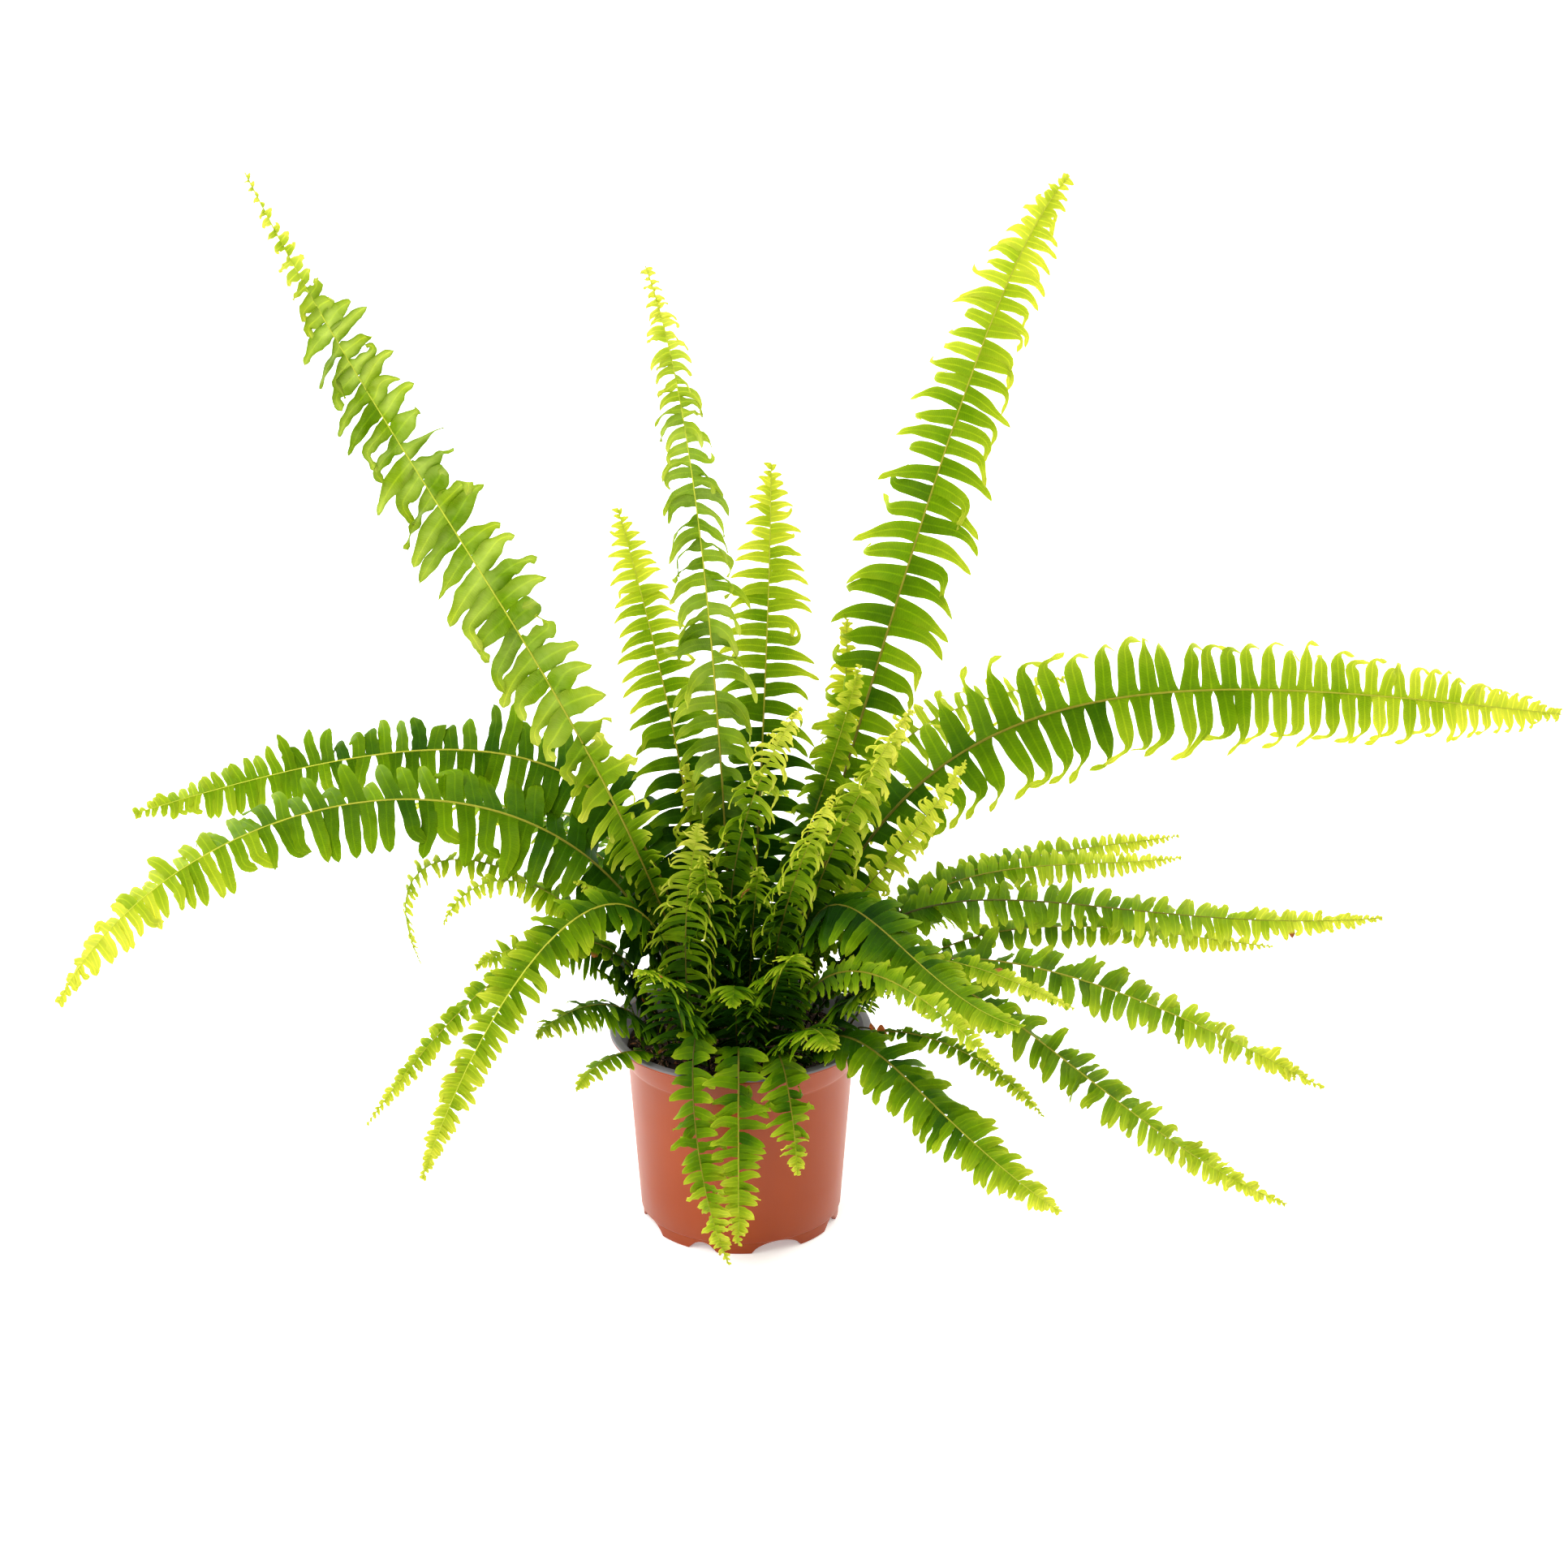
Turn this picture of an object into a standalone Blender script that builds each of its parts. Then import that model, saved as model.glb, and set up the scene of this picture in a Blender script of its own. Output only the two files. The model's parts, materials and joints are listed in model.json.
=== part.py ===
"""A sword fern in a nursery pot: pot, soil, fronds and two runners, each one closed solid.

Lengths in the tables are millimetres and angles are degrees. Headings are counted from +X towards +Y.
Each frond is a flat rib that rises out of a plain hole in the soil and arches out in its own upright
plane, with its leaflets cut to the rib. A leaflet that would cross an earlier one is folded or
shortened until it lies clear, as crowded leaflets do.
"""

import math
import random
from collections import namedtuple

import bmesh
import bpy
from mathutils import Matrix, Vector
from mathutils.bvhtree import BVHTree

MM = 0.001

# Pot, a 12 cm nursery pot.
POT_HEIGHT = 94.0
LIP_RADIUS = 60.0
LIP_THICKNESS = 2.6
COLLAR_HEIGHT = 15.0
COLLAR_TOP_RADIUS = 56.0
COLLAR_FOOT_RADIUS = 52.4
WALL_TOP_RADIUS = 51.6
WALL_FOOT_RADIUS = 46.3
FOOT_HEIGHT = 6.0
FOOT_RADIUS = 45.4
POT_WALL = 1.2
POT_SIDES = 48
FEET = 8
# Half span in degrees and height of a wide notch and of a narrow one.
NOTCHES = ((15.0, 5.0), (7.5, 4.2))
DRAIN_RADIUS = 3.5
DRAIN_CIRCLE = 30.0
DRAIN_SIDES = 6

# Soil.
SOIL_TOP = 86.0
SOIL_LUMPS = 2.4
SOIL_SIDES = 24
SEAT_GAP = 0.3
HOLE_SIDES = 5
HOLE_MOUTH = 5.0
ROOT_DEPTH = 10.0

# Ribs and leaflets.
STALK_WIDTH = 2.0
STALK_THICKNESS = 1.7
TIP_WIDTH = 1.0
TIP_THICKNESS = 0.8
STALK_STEPS = 3
THIN_STALK_STEPS = 2
THIN_FROND = 16.5
BLADE_THICKNESS = 0.7
LEAFLET_MIDDLE = 0.46
LEAFLET_MIDDLE_WIDTH = 0.6
LEAFLET_SWEEP = 12.0
LEAFLET_TIP_SWEEP = 30.0
LEAFLET_CURL = 22.0
LEAFLET_JITTER = 7.0
SPACING_TAPER = 0.35
CLEARANCE = 0.45
FOLDS_TO_TRY = (0, 16, -16, 32, -32, 50, -50, 68)
LENGTHS_TO_TRY = (1.0, 0.75, 0.55, 0.4)
SEED = 12

# Runners.
RUNNER_WIDTH = 1.2
RUNNER_DEPTH = 6.0

Frond = namedtuple(
    "Frond",
    "name heading root launch reach height tip width pairs side bare roll hold ease taper droop",
    defaults=(0, 0.25, 0, 0.4, 0.35, 2.0, 10),
)

# name, heading, root radius, launch angle, tip's reach, height and angle, half width, leaflet pairs;
# then side sway, bare share, roll of the blade, the two handles of the arch, taper and droop.
FRONDS = (
    Frond("upper_left", 205, 14, 74, 212, 500, 66, 30, 14, bare=0.3, roll=68, taper=1.6),
    Frond("upper_right", 35, 15, 70, 181, 464, 36, 34, 16, bare=0.3, roll=45, hold=0.6, ease=0.12),
    Frond("upper_middle", 215, 3, 88, 46, 450, 68, 29, 13, bare=0.24, roll=50, ease=0.2, taper=1.5),
    Frond("centre_tall", 70, 12, 84, 42, 348, 88, 30, 12, bare=0.2, roll=20),
    Frond("centre_left", 150, 12, 84, 62, 330, 72, 26, 10, bare=0.2, roll=-50),
    Frond("right_long", 12, 22, 78, 392, 216, -10, 36, 17, bare=0.17, roll=62, hold=0.5, ease=0.5),
    Frond("left_upper", 172, 20, 86, 282, 182, -20, 26, 15, bare=0.13, roll=-58, hold=0.6, ease=0.6),
    Frond("left_lower", 186, 24, 82, 306, 118, -62, 27, 17, bare=0.12, roll=-40, hold=0.62, ease=0.45),
    Frond("right_low_1", 10, 32, 72, 205, 173, 6, 11, 8, bare=0.17, roll=45, hold=0.5),
    Frond("right_low_2", 0, 38, 76, 199, 176, 8, 12, 8, bare=0.2, roll=45, hold=0.58),
    Frond("right_low_3", -7, 27, 74, 287, 161, 8, 16, 11, bare=0.15, roll=42, hold=0.46, ease=0.5),
    Frond("right_low_4", -2, 45, 62, 241, 136, -6, 11, 6, bare=0.3, roll=40, hold=0.45),
    Frond("right_low_5", -15, 33, 68, 266, 94, -25, 17, 11, bare=0.16, roll=38, hold=0.37, ease=0.5),
    Frond("right_low_6", -24, 38, 72, 260, 56, -12, 16, 11, bare=0.18, roll=36, hold=0.55, ease=0.45),
    Frond("right_thin", -31, 32, 74, 169, 140, -14, 9, 6, bare=0.25, roll=30, hold=0.55),
    Frond("right_curly", 30, 27, 80, 175, 232, 4, 13, 7, bare=0.3, roll=40, hold=0.75),
    Frond("front_right_broad", -42, 27, 84, 162, 141, 5, 24, 10, bare=0.14, roll=20, hold=1.05, ease=0.5),
    Frond("front_right_edge", -53, 31, 76, 182, 138, -22, 13, 8, bare=0.18, roll=62, hold=0.55),
    Frond("front_right_low", -47, 42, 64, 199, 73, -10, 20, 11, bare=0.1, roll=25, hold=0.4, ease=0.55),
    Frond("front_right_small", -34, 45, 58, 160, 90, -42, 8, 5, bare=0.3, roll=20),
    Frond("front_hanging_middle", -90, 40, 74, 86, 26, -84, 17, 9, bare=0.1, hold=0.7, ease=0.75),
    Frond("front_hanging_left", -112, 36, 76, 90, 21, -74, 15, 9, side=32, bare=0.14, hold=0.8, ease=0.6),
    Frond("front_hanging_right", -72, 42, 74, 84, 57, -80, 15, 6, bare=0.14, hold=0.8, ease=0.7),
    Frond("left_hooked", 180, 37, 72, 145, 124, -112, 9, 8, bare=0.2, roll=-30, hold=0.95, ease=0.75),
    Frond("left_small", 191, 39, 74, 134, 154, -66, 9, 6, bare=0.25, roll=-30, hold=0.8),
    Frond("left_middle", 197, 33, 76, 122, 138, -28, 18, 8, bare=0.14, roll=-30, hold=0.6),
    Frond("front_left_arched", 218, 28, 84, 173, 68, -66, 22, 12, bare=0.14, roll=-30, hold=1.0, ease=0.75),
    Frond("front_left_thin", 206, 38, 80, 181, 81, -50, 12, 7, bare=0.22, roll=-25, hold=0.9),
    Frond("left_rim", 224, 45, 64, 99, 93, -50, 8, 5, bare=0.3, hold=0.4),
    Frond("left_sprout", 200, 47, 84, 70, 133, 30, 7, 4, bare=0.6),
    Frond("front_left_bright", 236, 35, 78, 31, 202, 112, 16, 7, bare=0.15, roll=35),
    Frond("centre_curl", 178, 12, 88, 24, 220, 70, 14, 5, bare=0.2, roll=-80),
    Frond("centre_leaning", 250, 12, 84, 30, 262, 80, 15, 7, side=40, bare=0.18, roll=20),
    Frond("right_bright", -30, 19, 80, 86, 261, 58, 16, 7, bare=0.2, roll=-50),
    Frond("front_bright", -60, 20, 82, 81, 232, 54, 15, 7, bare=0.18, roll=-20),
    Frond("right_yellow", 50, 24, 76, 75, 273, 96, 11, 6, bare=0.3, roll=40),
    Frond("right_yellow_low", -15, 20, 78, 103, 232, 62, 11, 6, bare=0.3, roll=80),
    Frond("young_right", 16, 10, 84, 56, 262, 76, 15, 6, bare=0.2, roll=60),
    Frond("young_right_front", -8, 13, 82, 72, 238, 60, 15, 6, bare=0.2, roll=80),
    Frond("young_front_left", 248, 23, 82, 42, 192, 74, 17, 6, bare=0.12, roll=20),
    Frond("young_front", 284, 14, 84, 38, 186, 64, 17, 6, bare=0.14, roll=-10),
    Frond("young_front_right", 290, 29, 74, 74, 158, 30, 17, 6, bare=0.12),
    Frond("young_front_low", 268, 30, 78, 66, 132, -50, 15, 6, bare=0.12, hold=0.7),
    Frond("young_left_front", 239, 43, 80, 82, 150, 10, 16, 6, bare=0.12),
    Frond("young_left", 202, 25, 78, 78, 176, 20, 16, 6, bare=0.14),
    Frond("young_low_right", 320, 39, 68, 96, 140, 10, 16, 6, bare=0.12),
    Frond("young_low_left", 213, 42, 76, 106, 114, -36, 16, 7, bare=0.12, hold=0.6),
    Frond("young_low_front", 297, 43, 76, 90, 118, -30, 15, 6, bare=0.12, hold=0.5),
    Frond("back_right", 60, 33, 74, 186, 150, -30, 18, 9, bare=0.14, hold=0.5),
    Frond("back_middle", 86, 26, 76, 205, 128, -42, 19, 9, bare=0.14, hold=0.5),
    Frond("back_left", 128, 30, 74, 216, 122, -45, 18, 9, bare=0.14, hold=0.5),
    Frond("back_left_upper", 146, 24, 76, 196, 160, -22, 17, 9, bare=0.14, hold=0.5),
    Frond("back_hanging", 97, 39, 74, 112, 52, -76, 13, 7, bare=0.16, hold=0.7, ease=0.6),
    Frond("back_right_low", 40, 42, 66, 156, 98, -50, 14, 7, bare=0.16),
    Frond("back_left_low", 114, 41, 70, 140, 88, -60, 13, 7, bare=0.16, hold=0.5),
)

Runner = namedtuple("Runner", "name heading root reach height sway")
RUNNERS = (
    Runner("runner_1", -12, 49.5, 70, 74, 4),
    Runner("runner_2", -24, 48.5, 68, 80, -3),
)


def clear_scene():
    for thing in list(bpy.data.objects):
        bpy.data.objects.remove(thing, do_unlink=True)


def material(name, colour, roughness):
    made = bpy.data.materials.new(name)
    made.use_nodes = True
    shader = made.node_tree.nodes["Principled BSDF"]
    shader.inputs["Base Color"].default_value = (*colour, 1.0)
    shader.inputs["Roughness"].default_value = roughness
    shader.inputs["Metallic"].default_value = 0.0
    return made


def add_object(name, points, faces, finish):
    """One object from points in millimetres, with its faces turned outwards."""
    mesh = bpy.data.meshes.new(name)
    mesh.from_pydata([Vector(point) * MM for point in points], [], faces)
    shell = bmesh.new()
    shell.from_mesh(mesh)
    bmesh.ops.recalc_face_normals(shell, faces=shell.faces)
    shell.to_mesh(mesh)
    shell.free()
    mesh.materials.append(finish)
    thing = bpy.data.objects.new(name, mesh)
    bpy.context.scene.collection.objects.link(thing)
    return thing


def around(heading, out, up, side=0.0):
    """The point at a reach, height and sideways distance in the upright plane of a heading."""
    turn = math.radians(heading)
    x = out * math.cos(turn) - side * math.sin(turn)
    y = out * math.sin(turn) + side * math.cos(turn)
    return Vector((x, y, up))


def turned(name, rings, sides, finish):
    """A closed solid of revolution. Each ring is a radius and a height, or a height by angle."""
    points = []
    faces = []
    for radius, height in rings:
        for step in range(sides):
            angle = 360.0 * step / sides
            level = height(angle) if callable(height) else height
            points.append(around(angle, radius, level))
    for ring in range(len(rings) - 1):
        for step in range(sides):
            after = (step + 1) % sides
            low = ring * sides
            high = low + sides
            faces.append((low + step, low + after, high + after, high + step))
    first = len(points)
    points.append(Vector((0.0, 0.0, rings[0][1])))
    points.append(Vector((0.0, 0.0, rings[-1][1])))
    last_ring = (len(rings) - 1) * sides
    for step in range(sides):
        after = (step + 1) % sides
        faces.append((first, after, step))
        faces.append((first + 1, last_ring + step, last_ring + after))
    return add_object(name, points, faces, finish)


def notch_level(angle):
    """Height of the pot's lower edge: flat feet parted by notches, wide and narrow in turn."""
    period = 360.0 / FEET
    half_span, height = NOTCHES[int(angle // period) % 2]
    from_notch = abs(angle % period - period / 2)
    if from_notch >= half_span:
        return 0.0
    return height * math.cos(math.pi / 2 * from_notch / half_span) ** 0.5


def inner_wall_radius(height):
    """Inside radius of the pot's straight wall at a height."""
    share = (height - FOOT_HEIGHT) / (POT_HEIGHT - COLLAR_HEIGHT - FOOT_HEIGHT)
    return WALL_FOOT_RADIUS + (WALL_TOP_RADIUS - WALL_FOOT_RADIUS) * share - POT_WALL


def prism(name, middle, direction, radius, low, high, sides):
    """A straight cutter along a direction, from low to high along it."""
    shell = bmesh.new()
    bmesh.ops.create_cone(
        shell,
        cap_ends=True,
        segments=sides,
        radius1=radius * MM,
        radius2=radius * MM,
        depth=(high - low) * MM,
    )
    mesh = bpy.data.meshes.new(name)
    shell.to_mesh(mesh)
    shell.free()
    turn = direction.to_track_quat("Z", "Y").to_matrix().to_4x4()
    shift = Matrix.Translation((middle + direction * (low + high) / 2) * MM)
    mesh.transform(shift @ turn)
    cutter = bpy.data.objects.new(name, mesh)
    cutter.hide_render = True
    cutter.display_type = "WIRE"
    return cutter


def cut(thing, cutters):
    """Takes a list of cutters away from an object, applies the cut and drops the cutters."""
    group = bpy.data.collections.new(thing.name + "_cutters")
    bpy.context.scene.collection.children.link(group)
    for cutter in cutters:
        group.objects.link(cutter)
    boolean = thing.modifiers.new("holes", "BOOLEAN")
    boolean.operation = "DIFFERENCE"
    boolean.solver = "EXACT"
    boolean.operand_type = "COLLECTION"
    boolean.collection = group
    bpy.context.view_layer.update()
    graph = bpy.context.evaluated_depsgraph_get()
    result = bpy.data.meshes.new_from_object(thing.evaluated_get(graph))
    thing.modifiers.clear()
    thing.data = result
    for cutter in cutters:
        bpy.data.objects.remove(cutter, do_unlink=True)
    bpy.data.collections.remove(group)


def make_pot(finish):
    step_height = POT_HEIGHT - COLLAR_HEIGHT
    lip_low = POT_HEIGHT - LIP_THICKNESS
    floor_low = FOOT_HEIGHT + 0.4
    floor_high = floor_low + POT_WALL
    rings = (
        (FOOT_RADIUS - 2 * POT_WALL, floor_low),
        (FOOT_RADIUS - 2 * POT_WALL, notch_level),
        (FOOT_RADIUS, notch_level),
        (WALL_FOOT_RADIUS, FOOT_HEIGHT),
        (WALL_TOP_RADIUS, step_height),
        (COLLAR_FOOT_RADIUS, step_height + 0.8),
        (COLLAR_TOP_RADIUS, lip_low - 0.6),
        (LIP_RADIUS - 0.6, lip_low),
        (LIP_RADIUS, POT_HEIGHT - LIP_THICKNESS / 2),
        (LIP_RADIUS - 0.9, POT_HEIGHT),
        (COLLAR_TOP_RADIUS + 0.4, POT_HEIGHT),
        (COLLAR_TOP_RADIUS - POT_WALL, lip_low - 1.0),
        (inner_wall_radius(step_height), step_height),
        (inner_wall_radius(floor_high), floor_high),
    )
    pot = turned("pot", rings, POT_SIDES, finish)
    drains = []
    for step in range(FEET):
        middle = around(360.0 * step / FEET, DRAIN_CIRCLE, floor_low)
        drains.append(prism("drain", middle, Vector((0, 0, 1)), DRAIN_RADIUS, -2.0, 4.0, DRAIN_SIDES))
    cut(pot, drains)
    pot.data.shade_smooth()
    pot.data.set_sharp_from_angle(angle=math.radians(30))
    return pot


def hole(mouth, direction, reach, depth):
    """Cutter for a plain hole round a stalk whose corners lie at a reach from its middle."""
    radius = (reach + SEAT_GAP) / math.cos(math.pi / HOLE_SIDES)
    return prism("hole", mouth, direction, radius, -depth, HOLE_MOUTH, HOLE_SIDES)


def soil_level(radius, angle):
    """Height of the soil's lumpy top, nowhere above its nominal level."""
    turn = math.radians(angle)
    wave = math.sin(0.21 * radius + 3.0 * turn) * math.cos(0.13 * radius - 2.0 * turn)
    return SOIL_TOP - SOIL_LUMPS * (0.5 + 0.5 * wave)


def make_soil(finish, holes):
    floor = FOOT_HEIGHT + 0.4 + POT_WALL + SEAT_GAP
    step_height = POT_HEIGHT - COLLAR_HEIGHT
    low = inner_wall_radius(floor) - SEAT_GAP
    high = inner_wall_radius(step_height) - SEAT_GAP
    flare = (COLLAR_TOP_RADIUS - POT_WALL - high) / (POT_HEIGHT - LIP_THICKNESS - 1.0 - step_height)
    rim = high + (SOIL_TOP - SOIL_LUMPS - step_height) * flare - SEAT_GAP
    rings = [(low, floor), (high, step_height), (rim, SOIL_TOP - SOIL_LUMPS)]
    for share in (0.86, 0.7, 0.54, 0.38, 0.2):
        radius = rim * share
        rings.append((radius, lambda angle, radius=radius: soil_level(radius, angle)))
    rings.append((rim * 0.05, SOIL_TOP - SOIL_LUMPS / 2))
    soil = turned("soil", rings, SOIL_SIDES, finish)
    cut(soil, holes)
    return soil


class Arch:
    """The rib's centre line of one frond, measured along its length in millimetres."""

    STEPS = 80

    def __init__(self, frond):
        start = Vector((frond.root, SOIL_TOP))
        end = Vector((frond.reach, frond.height))
        chord = (end - start).length
        launch = math.radians(frond.launch)
        tip = math.radians(frond.tip)
        rising = start + frond.hold * chord * Vector((math.cos(launch), math.sin(launch)))
        falling = end - frond.ease * chord * Vector((math.cos(tip), math.sin(tip)))
        self.points = []
        for step in range(self.STEPS + 1):
            t = step / self.STEPS
            s = 1.0 - t
            flat = s**3 * start + 3 * s * s * t * rising + 3 * s * t * t * falling + t**3 * end
            self.points.append(around(frond.heading, flat[0], flat[1], frond.side * t**3))
        self.lengths = [0.0]
        for before, after in zip(self.points, self.points[1:]):
            self.lengths.append(self.lengths[-1] + (after - before).length)
        self.length = self.lengths[-1]
        self.across = around(frond.heading, 0.0, 0.0, 1.0)
        self.roll = math.radians(frond.roll)
        self.bare = frond.bare

    def at(self, distance):
        """The point and the direction at a distance from the soil; below it the rib runs straight."""
        if distance <= 0.0:
            direction = (self.points[1] - self.points[0]).normalized()
            return self.points[0] + direction * distance, direction
        step = 1
        while step < self.STEPS and self.lengths[step] < distance:
            step += 1
        before, after = self.points[step - 1], self.points[step]
        share = (distance - self.lengths[step - 1]) / (self.lengths[step] - self.lengths[step - 1])
        return before.lerp(after, share), (after - before).normalized()

    def frame(self, distance):
        """The point, growing direction, side direction and upper direction of the blade."""
        point, along = self.at(distance)
        share = max(0.0, min(1.0, distance / (self.bare * self.length + 1e-6)))
        side = (self.across - along * self.across.dot(along)).normalized()
        side = Matrix.Rotation(self.roll * share, 3, along) @ side
        return point, along, side, along.cross(side)


def rib_size(share):
    """Half width and half thickness of the rib at a share of the frond's length."""
    share = max(0.0, share)
    width = STALK_WIDTH + (TIP_WIDTH - STALK_WIDTH) * share
    thickness = STALK_THICKNESS + (TIP_THICKNESS - STALK_THICKNESS) * share
    return width / 2, thickness / 2


def half_width(frond, u):
    """Leaflet length at share u of the leafy stretch."""
    shoulder = 0.6 + 0.4 * min(1.0, u / 0.2)
    return frond.width * shoulder * max(0.12, (1.0 - u**frond.taper) ** 0.8)


def station_share(u):
    """Place of a leaflet station: stations crowd towards the tip."""
    return u * (1.0 + SPACING_TAPER) - SPACING_TAPER * u * u


class Crowd:
    """What is already placed, for testing whether something new would cross it."""

    def __init__(self):
        self.members = []

    def add(self, owner, points, faces):
        low, high = box_of(points)
        self.members.append((owner, low, high, BVHTree.FromPolygons(points, faces)))

    def meets(self, points, faces, skip=None):
        low, high = box_of(points)
        tree = None
        for owner, other_low, other_high, other in self.members:
            if owner == skip:
                continue
            if any(low[i] > other_high[i] or high[i] < other_low[i] for i in range(3)):
                continue
            tree = tree or BVHTree.FromPolygons(points, faces)
            if tree.overlap(other):
                return True
        return False


def box_of(points):
    low = [min(point[i] for point in points) for i in range(3)]
    high = [max(point[i] for point in points) for i in range(3)]
    return low, high


BOX_FACES = (
    (0, 1, 2), (0, 2, 3), (4, 6, 5), (4, 7, 6), (0, 4, 5), (0, 5, 1),
    (1, 5, 6), (1, 6, 2), (2, 6, 7), (2, 7, 3), (3, 7, 4), (3, 4, 0),
)
LEAF_FACES = (
    (0, 1, 3), (0, 3, 2), (2, 3, 8), (4, 7, 5), (4, 6, 7), (6, 8, 7),
    (0, 2, 6), (0, 6, 4), (2, 8, 6), (1, 5, 7), (1, 7, 3), (3, 7, 8),
)


class Leaflet:
    """One leaflet on one side of the rib, from the rib's edge to its tip."""

    def __init__(self, frond, arch, near, far, sign, length, fold):
        point, along, side, up = arch.frame((near + far) / 2)
        spacing = far - near
        out = side * sign
        half, thick = rib_size((near + far) / 2 / arch.length)
        fold = math.radians(fold)
        end_fold = fold - math.radians(LEAFLET_CURL)
        sweep = math.radians(LEAFLET_SWEEP)
        end_sweep = math.radians(LEAFLET_TIP_SWEEP)
        first = (out * math.cos(fold) + up * math.sin(fold)) * math.cos(sweep) + along * math.sin(sweep)
        last = (out * math.cos(end_fold) + up * math.sin(end_fold)) * math.cos(end_sweep)
        last = last + along * math.sin(end_sweep)
        self.face = up * math.cos(fold) - out * math.sin(fold)
        self.root = point + out * half
        self.middle = self.root + first * length * LEAFLET_MIDDLE
        self.tip = self.middle + last * length * (1.0 - LEAFLET_MIDDLE)
        self.along = along
        self.breadth = along * spacing * LEAFLET_MIDDLE_WIDTH / 2
        self.base = along * spacing / 2
        self.up = up * thick

    def middle_corners(self):
        """The two upper and two lower points at the leaflet's middle."""
        rise = self.face * BLADE_THICKNESS / 2
        near = self.middle - self.breadth
        far = self.middle + self.breadth
        return near + rise, far + rise, near - rise, far - rise

    def body(self, start, margin):
        """The leaflet from a share of its inner half outwards, grown by a margin."""
        corners = self.middle_corners()
        grow = self.face * margin
        spread = self.along * margin * 0.5
        near = self.root - self.base
        far = self.root + self.base
        near = near.lerp(self.middle - self.breadth, start)
        far = far.lerp(self.middle + self.breadth, start)
        rise = self.up.lerp(self.face * BLADE_THICKNESS / 2, start) + grow
        points = [near + rise - spread, far + rise + spread]
        points += [corners[0] + grow - spread, corners[1] + grow + spread]
        points += [near - rise - spread, far - rise + spread]
        points += [corners[2] - grow - spread, corners[3] - grow + spread]
        points.append(self.tip + (self.tip - self.middle).normalized() * margin)
        return points


def rib_stations(frond, arch):
    """Distances along the rib: its buried end, the stalk's rings, then one for each leaflet edge."""
    buried = -ROOT_DEPTH / math.sin(math.radians(frond.launch))
    bare = frond.bare * arch.length
    leafy = (arch.length - bare) * 0.97
    steps = STALK_STEPS if frond.width > THIN_FROND else THIN_STALK_STEPS
    stalk = [buried] + [bare * step / steps for step in range(steps)]
    blade = [bare + leafy * station_share(k / frond.pairs) for k in range(frond.pairs + 1)]
    return stalk, blade


def rib_ring(arch, distance, margin=0.0):
    """Four corners of the rib: upper and lower on the first side, then on the other."""
    point, along, side, up = arch.frame(distance)
    half, thick = rib_size(distance / arch.length)
    side = side * (half + margin)
    up = up * (thick + margin)
    return [point + side + up, point + side - up, point - side + up, point - side - up]


def claim_rib(frond, arch, crowd):
    """Puts the rib's stretches in the crowd before any leaflet is placed."""
    stalk, blade = rib_stations(frond, arch)
    stations = stalk[1:] + blade
    for near, far in zip(stations, stations[1:]):
        a = rib_ring(arch, near, CLEARANCE)
        b = rib_ring(arch, far, CLEARANCE)
        corners = [a[0], a[1], a[3], a[2], b[0], b[1], b[3], b[2]]
        crowd.add(frond.name, corners, BOX_FACES)


def place_leaflet(frond, arch, near, far, sign, length, fold, crowd):
    """The first fold and length that lies clear of everything placed before, or nothing."""
    for scale in LENGTHS_TO_TRY:
        for extra in FOLDS_TO_TRY:
            leaflet = Leaflet(frond, arch, near, far, sign, length * scale, fold + extra)
            if crowd.meets(leaflet.body(0.0, 0.0), LEAF_FACES, skip=frond.name):
                continue
            if crowd.meets(leaflet.body(0.4, 0.0), LEAF_FACES):
                continue
            crowd.add(frond.name, leaflet.body(0.05, CLEARANCE), LEAF_FACES)
            return leaflet
    return None


def make_frond(frond, arch, crowd, rng, finish):
    stalk, blade = rib_stations(frond, arch)
    points = []
    faces = []
    for distance in stalk + blade:
        points += rib_ring(arch, distance)
    tip = len(points)
    points.append(arch.at(arch.length)[0])
    ring_count = len(stalk) + len(blade)
    faces.append((0, 1, 3, 2))
    last = 4 * (ring_count - 1)
    for a, b in ((0, 1), (1, 3), (3, 2), (2, 0)):
        faces.append((last + a, last + b, tip))
    for ring in range(ring_count - 1):
        low = 4 * ring
        high = low + 4
        faces += [(low, low + 2, high + 2), (low, high + 2, high)]
        faces += [(low + 1, high + 3, low + 3), (low + 1, high + 1, high + 3)]
        pair = ring - len(stalk)
        for sign in (1, -1):
            leaflet = None
            if pair >= 0:
                u = (pair + 0.5) / frond.pairs
                fold = -frond.droop + rng.uniform(-LEAFLET_JITTER, LEAFLET_JITTER)
                size = half_width(frond, u) * rng.uniform(0.93, 1.05)
                leaflet = place_leaflet(frond, arch, blade[pair], blade[pair + 1], sign, size, fold, crowd)
            near_up, near_down = (low, low + 1) if sign > 0 else (low + 2, low + 3)
            far_up, far_down = near_up + 4, near_down + 4
            if leaflet is None:
                faces += [(near_up, near_down, far_down), (near_up, far_down, far_up)]
                continue
            first = len(points)
            points += leaflet.middle_corners()
            points.append(leaflet.tip)
            own = (near_up, far_up, first, first + 1, near_down, far_down, first + 2, first + 3, first + 4)
            faces += [tuple(own[index] for index in face) for face in LEAF_FACES]
    return add_object("frond_" + frond.name, points, faces, finish)


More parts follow.
